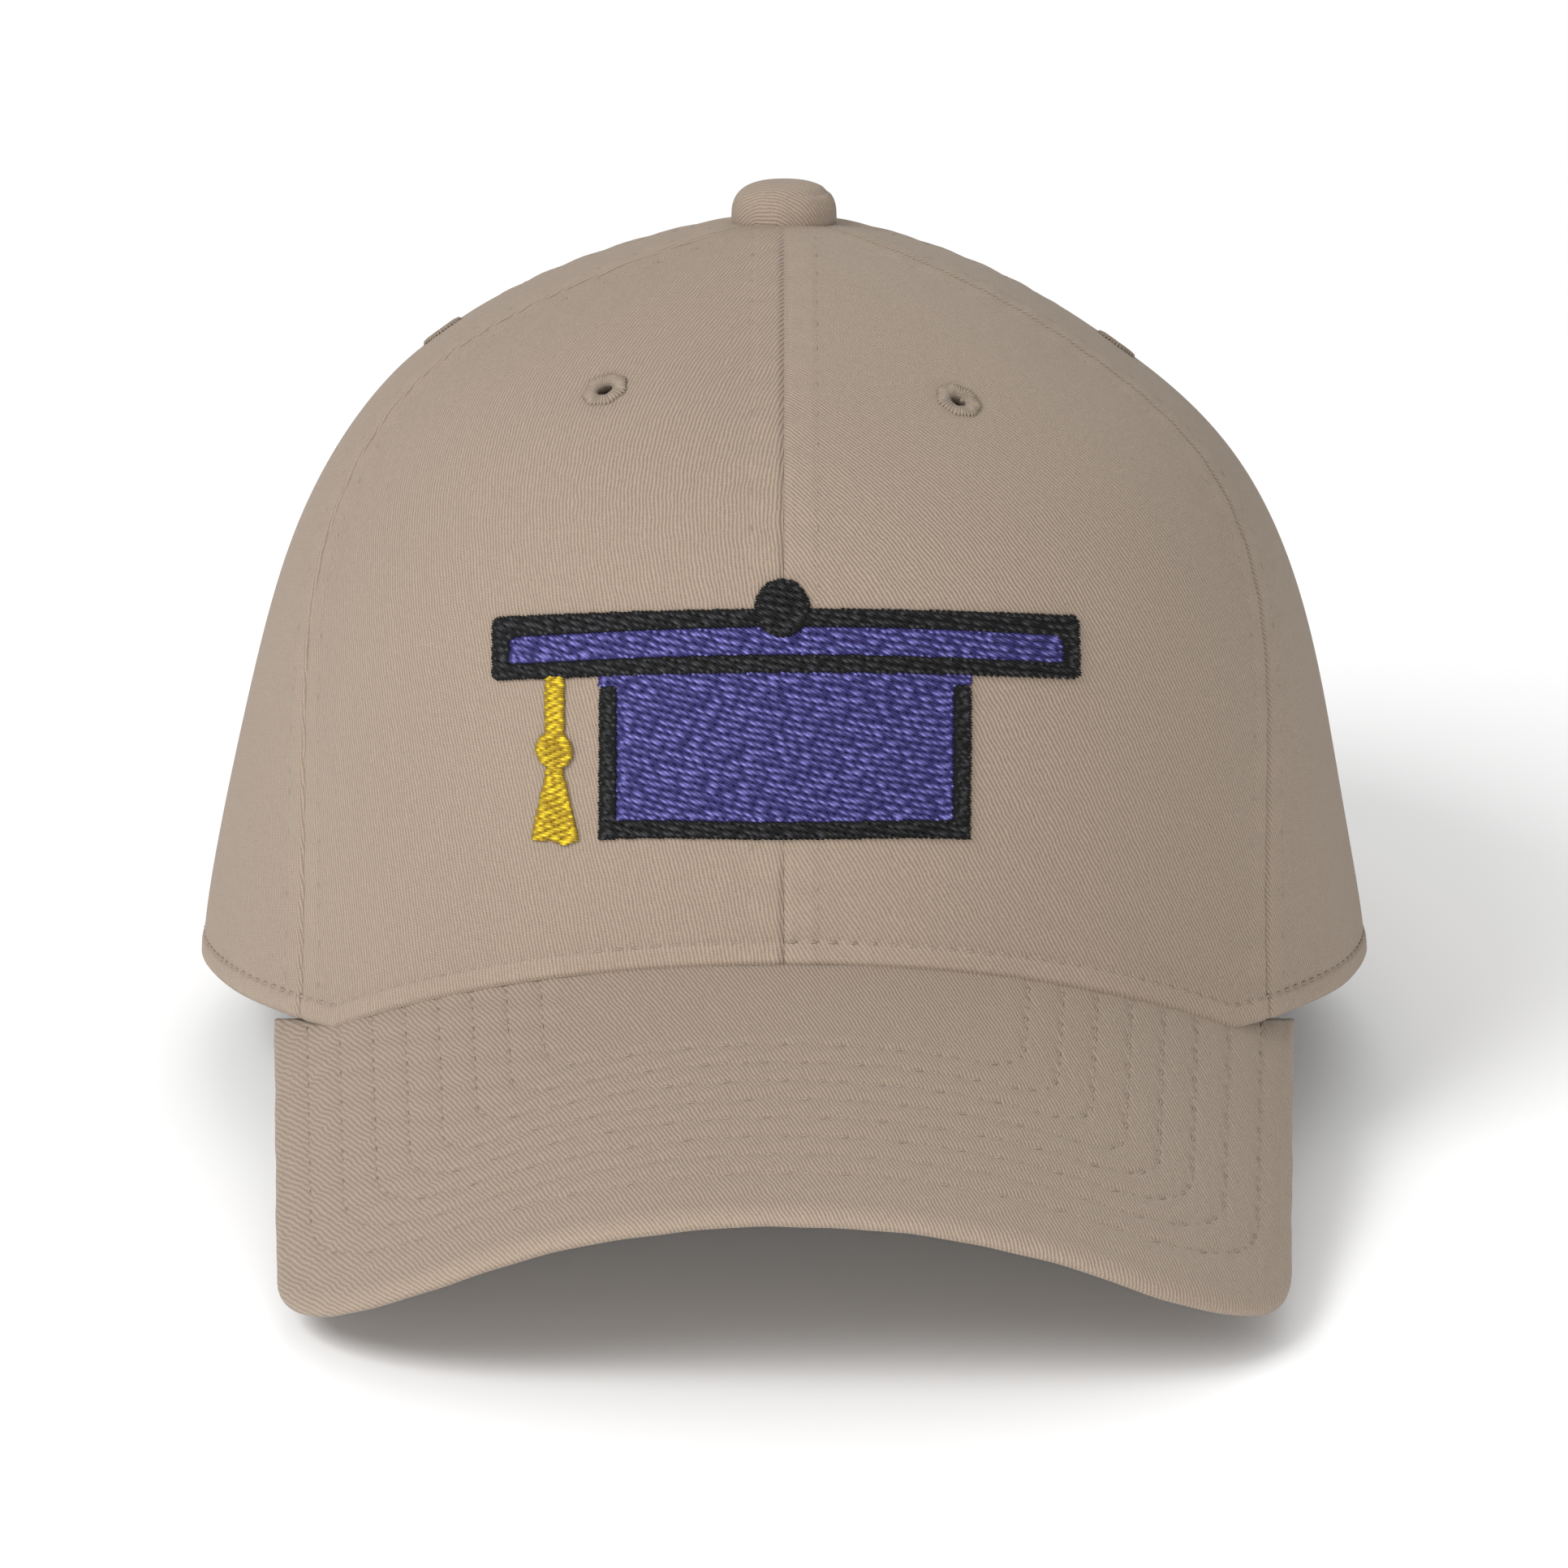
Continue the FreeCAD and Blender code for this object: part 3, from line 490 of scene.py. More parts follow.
# ----------------------------------------------------------------------------------
# Materials
# ----------------------------------------------------------------------------------
class Graph:
    """A material's node tree, with short ways to wire it."""

    def __init__(self, name: str) -> None:
        """Start an empty tree with a shader and an output.

        Args:
            name: The material's name.
        """
        self.material = bpy.data.materials.new(name)
        self.material.use_nodes = True
        self.tree = self.material.node_tree
        self.tree.nodes.clear()
        self.shader = self.add("ShaderNodeBsdfPrincipled")
        output = self.add("ShaderNodeOutputMaterial")
        self.tree.links.new(self.shader.outputs[0], output.inputs[0])

    def add(self, kind: str, **settings: object) -> bpy.types.Node:
        """Add a node and set its properties.

        Args:
            kind: The node's type.
            settings: Its properties by name.

        Returns:
            The node.
        """
        node = self.tree.nodes.new(kind)
        for key, value in settings.items():
            setattr(node, key, value)
        return node

    def feed(self, socket: bpy.types.NodeSocket, value: object) -> None:
        """Link a socket into an input, or set the input to a constant.

        Args:
            socket: The input.
            value: A socket or a constant.
        """
        if isinstance(value, bpy.types.NodeSocket):
            self.tree.links.new(value, socket)
        else:
            socket.default_value = value

    def math(self, operation: str, first: object, second: object = 0.0,
             clamp: bool = False) -> bpy.types.NodeSocket:
        """One arithmetic step on two values.

        Args:
            operation: The step's name.
            first: Its first value or socket.
            second: Its second value or socket.
            clamp: Whether the result stays from 0 to 1.

        Returns:
            The result.
        """
        node = self.add("ShaderNodeMath", operation=operation, use_clamp=clamp)
        self.feed(node.inputs[0], first)
        self.feed(node.inputs[1], second)
        return node.outputs[0]

    def noise(self, vector: object, scale: float, detail: float = 2.0) -> bpy.types.NodeSocket:
        """Smooth noise from 0 to 1.

        Args:
            vector: Where it is read.
            scale: How fine it is.
            detail: How many finer layers it has.

        Returns:
            The noise.
        """
        node = self.add("ShaderNodeTexNoise")
        self.feed(node.inputs["Vector"], vector)
        node.inputs["Scale"].default_value = scale
        node.inputs["Detail"].default_value = detail
        return node.outputs["Fac"]

    def mix(self, share: object, first: object, second: object) -> bpy.types.NodeSocket:
        """Blend two colours.

        Args:
            share: How much of the second colour shows.
            first: The first colour or socket.
            second: The second colour or socket.

        Returns:
            The blended colour.
        """
        node = self.add("ShaderNodeMix", data_type="RGBA")
        self.feed(node.inputs[0], share)
        self.feed(node.inputs[6], first)
        self.feed(node.inputs[7], second)
        return node.outputs[2]

    def uv(self) -> tuple[bpy.types.NodeSocket, bpy.types.NodeSocket, bpy.types.NodeSocket]:
        """The piece's own cloth coordinates, in mm: vector, across and along.

        Returns:
            The three sockets.
        """
        node = self.add("ShaderNodeUVMap", uv_map="cloth")
        split = self.add("ShaderNodeSeparateXYZ")
        self.tree.links.new(node.outputs[0], split.inputs[0])
        return node.outputs[0], split.outputs[0], split.outputs[1]

    def attribute(self, name: str) -> bpy.types.NodeSocket:
        """A value stored on the mesh."""
        node = self.add("ShaderNodeAttribute", attribute_name=name)
        return node.outputs["Fac"]

    def relief(self, height: object, distance_mm: float, strength: float = 1.0) -> None:
        """Bump the surface by a height from 0 to 1.

        Args:
            height: The height.
            distance_mm: How far 1 stands out, in mm.
            strength: How much of the bump is used.
        """
        node = self.add("ShaderNodeBump")
        node.inputs["Strength"].default_value = strength
        node.inputs["Distance"].default_value = distance_mm * MM
        self.feed(node.inputs["Height"], height)
        self.tree.links.new(node.outputs[0], self.shader.inputs["Normal"])

    def wave(self, value: object, period: float) -> bpy.types.NodeSocket:
        """Sine of a length, from 0 to 1, that repeats every `period` mm.

        Args:
            value: The length in mm.
            period: The distance between two crests in mm.

        Returns:
            The sine.
        """
        angle = self.math("MULTIPLY", value, 2.0 * math.pi / period)
        sine = self.math("SINE", angle)
        return self.math("ADD", self.math("MULTIPLY", sine, 0.5), 0.5)


Color = tuple[float, float, float, float]


@dataclass(frozen=True)
class Twill:
    """Cotton twill: slanted wales, cross threads, lint and gentle shade changes."""

    name: str
    light: Color = (0.366, 0.286, 0.220, 1.0)
    dark: Color = (0.148, 0.112, 0.085, 1.0)
    wale_degrees: float = 62.0
    wale_spacing: float = 0.62
    thread_spacing: float = 0.46
    depth_mm: float = 0.22

    def build(self) -> bpy.types.Material:
        """Make the material.

        Returns:
            The finished material.
        """
        g = Graph(self.name)
        vector, u, v = g.uv()
        turn = math.radians(self.wale_degrees)
        drift = g.math("MULTIPLY", g.noise(vector, 0.22), 0.9)
        across = g.math("ADD", g.math("MULTIPLY", u, math.sin(turn)),
                        g.math("MULTIPLY", v, math.cos(turn)))
        across = g.math("ADD", across, drift)
        along = g.math("SUBTRACT", g.math("MULTIPLY", v, math.sin(turn)),
                       g.math("MULTIPLY", u, math.cos(turn)))
        wale = g.wave(across, self.wale_spacing)
        number = g.math("FLOOR", g.math("DIVIDE", across, self.wale_spacing))
        shifted = g.math("ADD", along, g.math("MULTIPLY", number, 0.37 * self.thread_spacing))
        thread = g.wave(shifted, self.thread_spacing)
        lint = g.noise(vector, 2.6, 4.0)
        slub = g.noise(vector, 0.9, 3.0)
        weave = g.math("MULTIPLY", wale, g.math("ADD", g.math("MULTIPLY", thread, 0.35), 0.65))
        height = g.math("ADD", g.math("MULTIPLY", weave, 0.72), g.math("MULTIPLY", lint, 0.5))
        tone = g.math("ADD", g.math("MULTIPLY", weave, 0.72), g.math("MULTIPLY", lint, 0.62))
        tone = g.math("ADD", tone, g.math("MULTIPLY", slub, 0.26))
        tone = g.math("ADD", tone, g.math("MULTIPLY", g.attribute("wear"), 0.25))
        tone = g.math("SUBTRACT", tone, 0.24, clamp=True)
        shade = g.noise(vector, 0.02, 2.0)
        color = g.mix(tone, self.dark, self.light)
        warm = tuple(0.93 * c for c in self.light[:3]) + (1.0,)
        color = g.mix(g.math("MULTIPLY", shade, 0.25), color, warm)
        g.feed(g.shader.inputs["Base Color"], color)
        rough = g.math("ADD", g.math("MULTIPLY", lint, 0.12), 0.80)
        g.feed(g.shader.inputs["Roughness"], rough)
        g.shader.inputs["Specular IOR Level"].default_value = 0.22
        g.shader.inputs["Sheen Weight"].default_value = 0.18
        g.shader.inputs["Sheen Roughness"].default_value = 0.5
        g.shader.inputs["Sheen Tint"].default_value = (0.9, 0.84, 0.76, 1.0)
        g.relief(height, self.depth_mm, 0.9)
        return g.material


@dataclass(frozen=True)
class Thread:
    """Twisted thread, with a painted highlight: a lighter streak painted along each stitch's
    middle, so its ends, where it dives into the cloth, keep the darker body colour.
    """

    name: str
    body: Color
    # Colour of the painted highlight, mixed in along the middle of each stitch.
    painted_highlight_color: Color
    roughness: float = 0.45
    gloss: float = 0.25
    highlight_width: float = 0.26
    highlight_share: float = 0.8

    def build(self) -> bpy.types.Material:
        """Make the material; `cloth` holds the place along a stitch and its own number.

        Returns:
            The finished material.
        """
        g = Graph(self.name)
        vector, along, number = g.uv()
        # Painted highlight: a lighter streak near each stitch's middle, shifted and weakened at
        # random per stitch and broken up by noise.
        chance = g.math("FRACT", g.math("MULTIPLY", g.math("SINE", number), 437.58))
        middle = g.math("ADD", g.math("MULTIPLY", chance, 0.36), 0.32)
        away = g.math("ABSOLUTE", g.math("SUBTRACT", along, middle))
        highlight_mask = g.math("SUBTRACT", 1.0, g.math("DIVIDE", away, self.highlight_width), clamp=True)
        strength = g.math("ADD", g.math("MULTIPLY", chance, 0.75), 0.25)
        share = g.math("MULTIPLY", g.math("MULTIPLY", highlight_mask, strength), self.highlight_share)
        fray = g.noise(vector, 9.0, 3.0)
        share = g.math("MULTIPLY", share, g.math("ADD", fray, 0.45), clamp=True)
        # Base colour: the body colour with the painted highlight mixed over it.
        g.feed(g.shader.inputs["Base Color"], g.mix(share, self.body, self.painted_highlight_color))
        g.shader.inputs["Specular IOR Level"].default_value = self.gloss
        g.feed(g.shader.inputs["Roughness"],
               g.math("ADD", g.math("MULTIPLY", fray, 0.2), self.roughness - 0.1))
        twist = g.wave(g.math("ADD", along, g.math("MULTIPLY", number, 0.31)), 0.11)
        g.relief(g.math("ADD", twist, g.math("MULTIPLY", fray, 0.6)), 0.05, 0.7)
        return g.material


@dataclass(frozen=True)
class Woven:
    """Plain weave for tape, buckram, backing and satin: two crossed sets of threads."""

    name: str
    light: Color
    dark: Color
    spacing: float = 0.6
    slant: float = 0.0
    depth_mm: float = 0.15
    roughness: float = 0.85

    def build(self) -> bpy.types.Material:
        """Make the material.

        Returns:
            The finished material.
        """
        g = Graph(self.name)
        vector, u, v = g.uv()
        zigzag = g.math("MULTIPLY", g.math("PINGPONG", u, 4.0), self.slant)
        warp = g.wave(u, self.spacing)
        weft = g.wave(g.math("ADD", v, zigzag), self.spacing)
        lint = g.noise(vector, 3.0, 4.0)
        cross = g.math("MULTIPLY", warp, weft)
        height = g.math("ADD", cross, g.math("MULTIPLY", lint, 0.5))
        tone = g.math("ADD", g.math("MULTIPLY", cross, 0.7), g.math("MULTIPLY", lint, 0.5),
                      clamp=True)
        g.feed(g.shader.inputs["Base Color"], g.mix(tone, self.dark, self.light))
        g.feed(g.shader.inputs["Roughness"],
               g.math("ADD", g.math("MULTIPLY", lint, 0.15), self.roughness - 0.08))
        g.shader.inputs["Sheen Weight"].default_value = 0.15
        g.relief(height, self.depth_mm, 0.8)
        return g.material


@dataclass(frozen=True)
class Hard:
    """Moulded plastic or plated steel, with fine grain and faint smudges."""

    name: str
    light: Color
    dark: Color
    metallic: float = 0.0
    roughness: float = 0.4
    grain: float = 900.0

    def build(self) -> bpy.types.Material:
        """Make the material from the piece's own place in space.

        Returns:
            The finished material.
        """
        g = Graph(self.name)
        place = g.add("ShaderNodeTexCoord").outputs["Object"]
        grain = g.noise(place, self.grain, 3.0)
        smudge = g.noise(place, 60.0, 2.0)
        g.feed(g.shader.inputs["Base Color"], g.mix(smudge, self.dark, self.light))
        g.shader.inputs["Metallic"].default_value = self.metallic
        g.feed(g.shader.inputs["Roughness"],
               g.math("ADD", g.math("MULTIPLY", smudge, 0.25), self.roughness - 0.1))
        g.relief(grain, 0.03, 0.4)
        return g.material


class Finish(Enum):
    """Every finish of the cap, each with the record's slot that it belongs to."""

    LEFT_TWILL = ("crown_twill", Twill("twill_left", wale_degrees=78.0))
    RIGHT_TWILL = ("crown_twill", Twill("twill_right", wale_degrees=58.0))
    SIDE_TWILL = ("crown_twill", Twill("twill_side", wale_degrees=66.0))
    VISOR_TWILL = ("visor_twill", Twill("twill_visor", wale_degrees=68.0))
    BUTTON_TWILL = ("button_twill", Twill("twill_button", wale_degrees=20.0))
    BAND = ("sweatband_cotton", Twill("band_cotton", (0.33, 0.262, 0.205, 1.0),
                                      (0.16, 0.122, 0.094, 1.0), 45.0, 0.5, 0.4))
    TAPE = ("binding_tape", Woven("tape_weave", (0.31, 0.245, 0.190, 1.0),
                                  (0.15, 0.115, 0.088, 1.0), 0.7, 1.0))
    BUCKRAM = ("buckram", Woven("buckram_weave", (0.80, 0.78, 0.72, 1.0),
                                (0.45, 0.43, 0.38, 1.0), 1.1, 0.0, 0.2))
    PADDING = ("padding_foam", Woven("padding_felt", (0.78, 0.75, 0.68, 1.0),
                                     (0.60, 0.57, 0.50, 1.0), 0.9, 0.3))
    BACKING = ("backing_fleece", Woven("backing_felt", (0.82, 0.81, 0.78, 1.0),
                                       (0.66, 0.65, 0.62, 1.0), 0.8, 0.2))
    LABEL = ("label_satin", Woven("label_satin_weave", (0.86, 0.85, 0.81, 1.0),
                                  (0.72, 0.71, 0.67, 1.0), 0.35, 0.0, 0.05, 0.45))
    # Each thread finish gives a body colour and then the colour of its painted highlight.
    SEWING = ("khaki_thread", Thread("sewing_thread", (0.235, 0.187, 0.146, 1.0),
                                     (0.325, 0.260, 0.205, 1.0), 0.7))
    EYELET = ("eyelet_thread", Thread("eyelet_sewing", (0.23, 0.183, 0.143, 1.0),
                                      (0.32, 0.256, 0.202, 1.0), 0.7))
    BLACK = ("black_thread", Thread("black_embroidery", (0.0045, 0.0045, 0.005, 1.0),
                                    (0.060, 0.060, 0.064, 1.0), 0.62, 0.15, 0.2))
    INDIGO = ("indigo_thread", Thread("indigo_embroidery", (0.017, 0.014, 0.088, 1.0),
                                      (0.22, 0.21, 0.56, 1.0), 0.55, 0.25, 0.22, 0.85))
    GOLD = ("gold_thread", Thread("gold_embroidery", (0.25, 0.155, 0.002, 1.0),
                                  (0.80, 0.60, 0.02, 1.0), 0.5, 0.3, 0.3, 1.0))
    STEEL = ("button_metal", Hard("plated_steel", (0.58, 0.58, 0.56, 1.0),
                                  (0.44, 0.44, 0.43, 1.0), 0.9, 0.32, 1400.0))
    WASHER = ("washer_plastic", Hard("washer_moulding", (0.84, 0.84, 0.82, 1.0),
                                     (0.74, 0.74, 0.72, 1.0), 0.0, 0.45))
    BOARD = ("board_plastic", Hard("visor_board_sheet", (0.78, 0.77, 0.73, 1.0),
                                   (0.66, 0.65, 0.61, 1.0), 0.0, 0.5))

    @property
    def slot(self) -> str:
        """The record's material slot."""
        return self.value[0]

    def material(self) -> bpy.types.Material:
        """The finish's material, made once."""
        recipe = self.value[1]
        return bpy.data.materials.get(recipe.name) or recipe.build()


# ----------------------------------------------------------------------------------
# Meshes
# ----------------------------------------------------------------------------------
@dataclass
class Surface:
    """Points, four-sided faces, cloth coordinates and wear, in hem-frame mm."""

    points: Array
    quads: Array
    cloth: Array
    wear: Array

    @classmethod
    def joined(cls, parts: Sequence["Surface"]) -> "Surface":
        """Several surfaces as one.

        Args:
            parts: The surfaces to join.

        Returns:
            One surface that holds them all.
        """
        starts = np.cumsum([0] + [len(part.points) for part in parts[:-1]])
        return cls(np.concatenate([part.points for part in parts]),
                   np.concatenate([part.quads + k for part, k in zip(parts, starts)]),
                   np.concatenate([part.cloth for part in parts]),
                   np.concatenate([part.wear for part in parts]))

    @classmethod
    def closed(cls, outer: Array, inner: Array, cloth: Array, wear: Array | None = None,
               keep: Array | None = None, wrap: bool = False) -> "Surface":
        """Thick sheet between two grids, walled along every edge and round every hole.

        Args:
            outer: Grid of points on the seen side, rows by columns.
            inner: Grid of points on the other side.
            cloth: Grid of cloth coordinates in mm.
            wear: Grid of wear from 0 to 1, or none.
            keep: Which cells are there, or none for all of them.
            wrap: Whether the last column joins the first.

        Returns:
            The closed surface.
        """
        rows, columns = outer.shape[:2]
        index = np.arange(rows * columns).reshape(rows, columns)
        if wrap:
            index = np.concatenate([index, index[:, :1]], 1)
        if keep is None:
            keep = np.ones((rows - 1, index.shape[1] - 1), bool)
        a, b = index[:-1, :-1], index[:-1, 1:]
        d, c = index[1:, :-1], index[1:, 1:]
        under = rows * columns
        front = np.stack([a, b, c, d], -1)[keep]
        back = np.stack([d, c, b, a], -1)[keep] + under
        padded = np.pad(keep, 1)
        if wrap:
            padded[1:-1, 0] = keep[:, -1]
            padded[1:-1, -1] = keep[:, 0]
        walls = []
        for first, second, gone in ((a, b, padded[:-2, 1:-1]), (b, c, padded[1:-1, 2:]),
                                    (c, d, padded[2:, 1:-1]), (d, a, padded[1:-1, :-2])):
            edge = keep & ~gone
            p, q = first[edge], second[edge]
            walls.append(np.stack([q, p, p + under, q + under], -1))
        points = np.concatenate([outer.reshape(-1, 3), inner.reshape(-1, 3)])
        flat = cloth.reshape(-1, 2)
        value = np.zeros(under) if wear is None else wear.reshape(-1)
        return cls(points, np.concatenate([front, back] + walls),
                   np.concatenate([flat, flat]), np.concatenate([value, value]))

    @classmethod
    def ring(cls, outline: Array, cloth: Array) -> "Surface":
        """Closed tube from a grid whose rows and columns both join up.

        Args:
            outline: Grid of points, section by place round.
            cloth: Grid of cloth coordinates in mm.

        Returns:
            The tube.
        """
        rows, columns = outline.shape[:2]
        index = np.arange(rows * columns).reshape(rows, columns)
        right, upper = np.roll(index, -1, 1), np.roll(index, -1, 0)
        quads = np.stack([index, right, np.roll(upper, -1, 1), upper], -1).reshape(-1, 4)
        return cls(outline.reshape(-1, 3), quads, cloth.reshape(-1, 2),
                   np.zeros(rows * columns))

    @classmethod
    def stitches(cls, paths: Array, normals: Array, half_width: Array,
                 half_height: float, numbers: Array) -> "Surface":
        """Short thread runs, one closed capsule along every path.

        Args:
            paths: Points of each path, stitch by point.
            normals: Direction out of the cloth at each point.
            half_width: Half the thread's width at each point, or one value.
            half_height: Half the thread's thickness.
            numbers: One number per stitch, which sets its shade.

        Returns:
            The surface of all the stitches together.
        """
        count, steps = paths.shape[:2]
        ahead = unit(np.gradient(paths, axis=1))
        side = unit(np.cross(ahead, normals))
        above = np.cross(side, ahead)
        share = np.linspace(0.0, 1.0, steps)
        slim = np.clip(np.sin(math.pi * np.clip(share, 0.04, 0.96)) * 2.2, 0.0, 1.0)
        wide = np.broadcast_to(half_width, (count, steps)) * slim
        turn = np.arange(6) * math.pi / 3.0
        ring = (side[:, :, None] * (np.cos(turn)[:, None] * wide[:, :, None, None])
                + above[:, :, None] * (np.sin(turn)[:, None]
                                       * half_height * slim[None, :, None, None]))
        points = (paths[:, :, None] + ring).reshape(-1, 3)
        index = np.arange(count * steps * 6).reshape(count, steps, 6)
        right = np.roll(index, -1, 2)
        tube = np.stack([index[:, :-1], index[:, 1:], right[:, 1:], right[:, :-1]], -1)
        first, last = index[:, 0], index[:, -1]
        caps = [first[:, [0, 1, 2, 3]], first[:, [0, 3, 4, 5]],
                last[:, [3, 2, 1, 0]], last[:, [5, 4, 3, 0]]]
        along = np.broadcast_to(share[None, :, None], (count, steps, 6))
        which = np.broadcast_to(numbers[:, None, None], (count, steps, 6))
        return cls(points, np.concatenate([tube.reshape(-1, 4)] + caps),
                   np.stack([along, which], -1).reshape(-1, 2), np.zeros(len(points)))


@dataclass
class Workroom:
    """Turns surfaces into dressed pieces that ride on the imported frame."""

    stand: Stand
    made: list[bpy.types.Object] = field(default_factory=list)

    def piece(self, name: str, surface: Surface, finish: Finish, *nodes: str,
              tidy: bool = False) -> bpy.types.Object:
        """Make one piece.

        Args:
            name: The piece's name.
            surface: Its shape in the hem frame.
            finish: What it is made of.
            nodes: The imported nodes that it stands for.
            tidy: Whether its faces still need turning outwards.

        Returns:
            The finished object.
        """
        mesh = bpy.data.meshes.new(name)
        points, quads = self.stand.world(surface.points), surface.quads
        mesh.vertices.add(len(points))
        mesh.vertices.foreach_set("co", points.astype(np.float32).ravel())
        mesh.loops.add(quads.size)
        mesh.loops.foreach_set("vertex_index", quads.astype(np.int32).ravel())
        mesh.polygons.add(len(quads))
        mesh.polygons.foreach_set("loop_start", np.arange(0, quads.size, 4, dtype=np.int32))
        mesh.update(calc_edges=True)
        layer = mesh.uv_layers.new(name="cloth")
        layer.data.foreach_set("uv", surface.cloth[quads.ravel()].astype(np.float32).ravel())
        worn = mesh.attributes.new("wear", "FLOAT", "POINT")
        worn.data.foreach_set("value", surface.wear.astype(np.float32))
        mesh.validate()
        mesh.shade_smooth()
        if tidy:
            self.face_outwards(mesh)
        thing = bpy.data.objects.new(name, mesh)
        bpy.context.collection.objects.link(thing)
        mesh.materials.append(finish.material())
        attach(thing, "root")
        if nodes:
            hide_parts(*nodes)
        self.made.append(thing)
        LOG.info("%s: %d faces", name, len(mesh.polygons))
        return thing

    @staticmethod
    def face_outwards(mesh: bpy.types.Mesh) -> None:
        """Turn every face of a closed mesh outwards.

        Args:
            mesh: The mesh, changed in place.
        """
        work = bmesh.new()
        work.from_mesh(mesh)
        bmesh.ops.recalc_face_normals(work, faces=work.faces)
        work.to_mesh(mesh)
        work.free()


# ----------------------------------------------------------------------------------
# The crown's cloth
# ----------------------------------------------------------------------------------
@dataclass(frozen=True)
class Edge:
    """The crown's lower edge, which arches over the visor in front."""

    crown: Crown
    visor: VisorShape

    def level(self, degrees: Array) -> Array:
        """Level of the edge at an angle from the middle of the front, either side.

        Args:
            degrees: Angle round the oval from the middle of the front.

        Returns:
            The level of the edge at each angle.
        """
        degrees = np.asarray(degrees, float)
        level = np.zeros_like(degrees)
        for _ in range(10):
            point = self.crown.bare(degrees, level)
            level = np.clip(self.visor.height(self.crown, point) / self.crown.height, 0.0, 0.4)
        return np.where(np.abs(degrees) < 80.0, level, 0.0)


@dataclass(frozen=True)
class Placing:
    """A grid on the crown with all that its relief needs to know."""

    degrees: Array
    level: Array
    climb: Array
    above_edge: Array
    seam_distance: Array
    across: Array
    width: Array


@dataclass(frozen=True)
class Hole:
    """A worked eyelet's place on the crown."""

    name: str
    degrees: float
    level: float

    def distance(self, crown: Crown, points: Array) -> Array:
        """Distance of points from the eyelet's middle."""
        return np.linalg.norm(points - crown.bare(self.degrees, self.level), axis=-1)


@dataclass
class CrownCloth:
    """The six panels, with sewn seams, a turned hem and holes for the eyelets."""

    crown: Crown
    edge: Edge
    room: Workroom
    holes: list[Hole]
    thickness: float = 1.0
    seam_reach: float = 5.2
    seam_depth: float = 0.34
    allowance: float = 0.17
    hem_row: float = 3.7
    stitch_pitch: float = 3.2
    deepest: float = -0.92
    columns: int = 132
    rows: int = 128
    top_level: float = 0.9993
    hole_radius: float = 2.2

    def placing(self, near: Seam, far: Seam, side: int, columns: int = 0) -> Placing:
        """Lay a grid between two seams, dense by its seams and its hem.

        Args:
            near: The seam nearer the front.
            far: The seam nearer the back.
            side: -1 for the left of the front view, 1 for its right.
            columns: How many columns, or 0 for the usual number.

        Returns:
            The grid.
        """
        share = crowded(columns or self.columns, 0.72)
        if side < 0:
            share = share[::-1]
        fine = np.array([0.0, 0.15, 0.4, 0.8, 1.3, 2.0, 2.7, 3.2, 3.5, 3.7, 3.9, 4.2, 4.7,
                         5.4, 6.4])
        full = float(self.crown.climb_at(self.top_level))
        rest = np.linspace(7.6, full, self.rows)
        base = np.concatenate([fine, rest])
        hem_degrees = side * (near.degrees(0.0) + (far.degrees(0.0) - near.degrees(0.0)) * share)
        edge = self.crown.climb_at(self.edge.level(hem_degrees))
        keep = (1.0 - base / full)[:, None]
        climb = base[:, None] + edge[None, :] * keep
        level = np.minimum(self.crown.level_at(climb), self.top_level)
        start = near.degrees(level)
        degrees = side * (start + (far.degrees(level) - start) * share[None, :])
        across = run_length(self.crown.bare(degrees, level), axis=1)
        width = across[:, -1:]
        nearest = np.minimum(across, width - across)
        return Placing(degrees, level, climb, climb - edge[None, :], nearest,
                       across - 0.5 * width, width * np.ones_like(across))

    def relief(self, at: Placing) -> Array:
        """Height of the sewn cloth over the ideal surface.

        Args:
            at: The grid that the panel is laid on.

        Returns:
            The height at each point in mm.
        """
        d, e = at.seam_distance, at.above_edge
        room = smooth(6.0, 22.0, at.width)
        valley = -self.seam_depth * np.exp(-(d / 0.5) ** 2)
        allowance = self.allowance * (smooth(0.2, 1.3, d) - smooth(self.seam_reach - 0.7,
                                                         self.seam_reach + 1.3, d))
        dents = 0.55 + 0.45 * np.cos(2.0 * math.pi * at.climb / self.stitch_pitch)
        row = -0.15 * bump(self.seam_reach, 0.5, d) * dents
        pull = 0.10 * np.sin(2.0 * math.pi * at.climb / 7.9 + 1.3 * np.sin(at.climb / 19.0))
        height = room * (valley + allowance + row + pull * bump(3.0, 4.0, d))
        turned = 0.32 * (1.0 - smooth(self.hem_row - 0.6, self.hem_row + 0.7, e))
        hem_dents = 0.5 + 0.5 * np.cos(2.0 * math.pi * at.across / self.stitch_pitch)
        hem_row = -0.42 * bump(self.hem_row, 0.42, e) * (0.4 + 0.6 * hem_dents)
        rounding = -0.55 * (1.0 - smooth(0.0, 0.9, e)) ** 2
        ripple = 0.12 * np.sin(at.across / 5.3 + 0.8) * np.exp(-e / 9.0)
        return np.maximum(height + turned + hem_row + rounding + ripple, self.deepest)

    def pressed(self, points: Array, height: Array) -> Array:
        """Relief pressed flat under the embroidery and drawn in round the eyelets.

        Args:
            points: Points of the ideal surface.
            height: The relief at each of them.

        Returns:
            The pressed relief in mm.
        """
        inside = (1.0 - smooth(44.0, 50.0, np.abs(points[..., 0])))
        inside = inside * smooth(30.0, 36.0, points[..., 2])
        inside = inside * (1.0 - smooth(73.0, 78.0, points[..., 2]))
        inside = inside * (points[..., 1] < 0.0)
        height = height * (1.0 - 0.75 * inside)
        for hole in self.holes:
            height = height - 0.42 * np.exp(-(hole.distance(self.crown, points) / 4.6) ** 2)
        return height

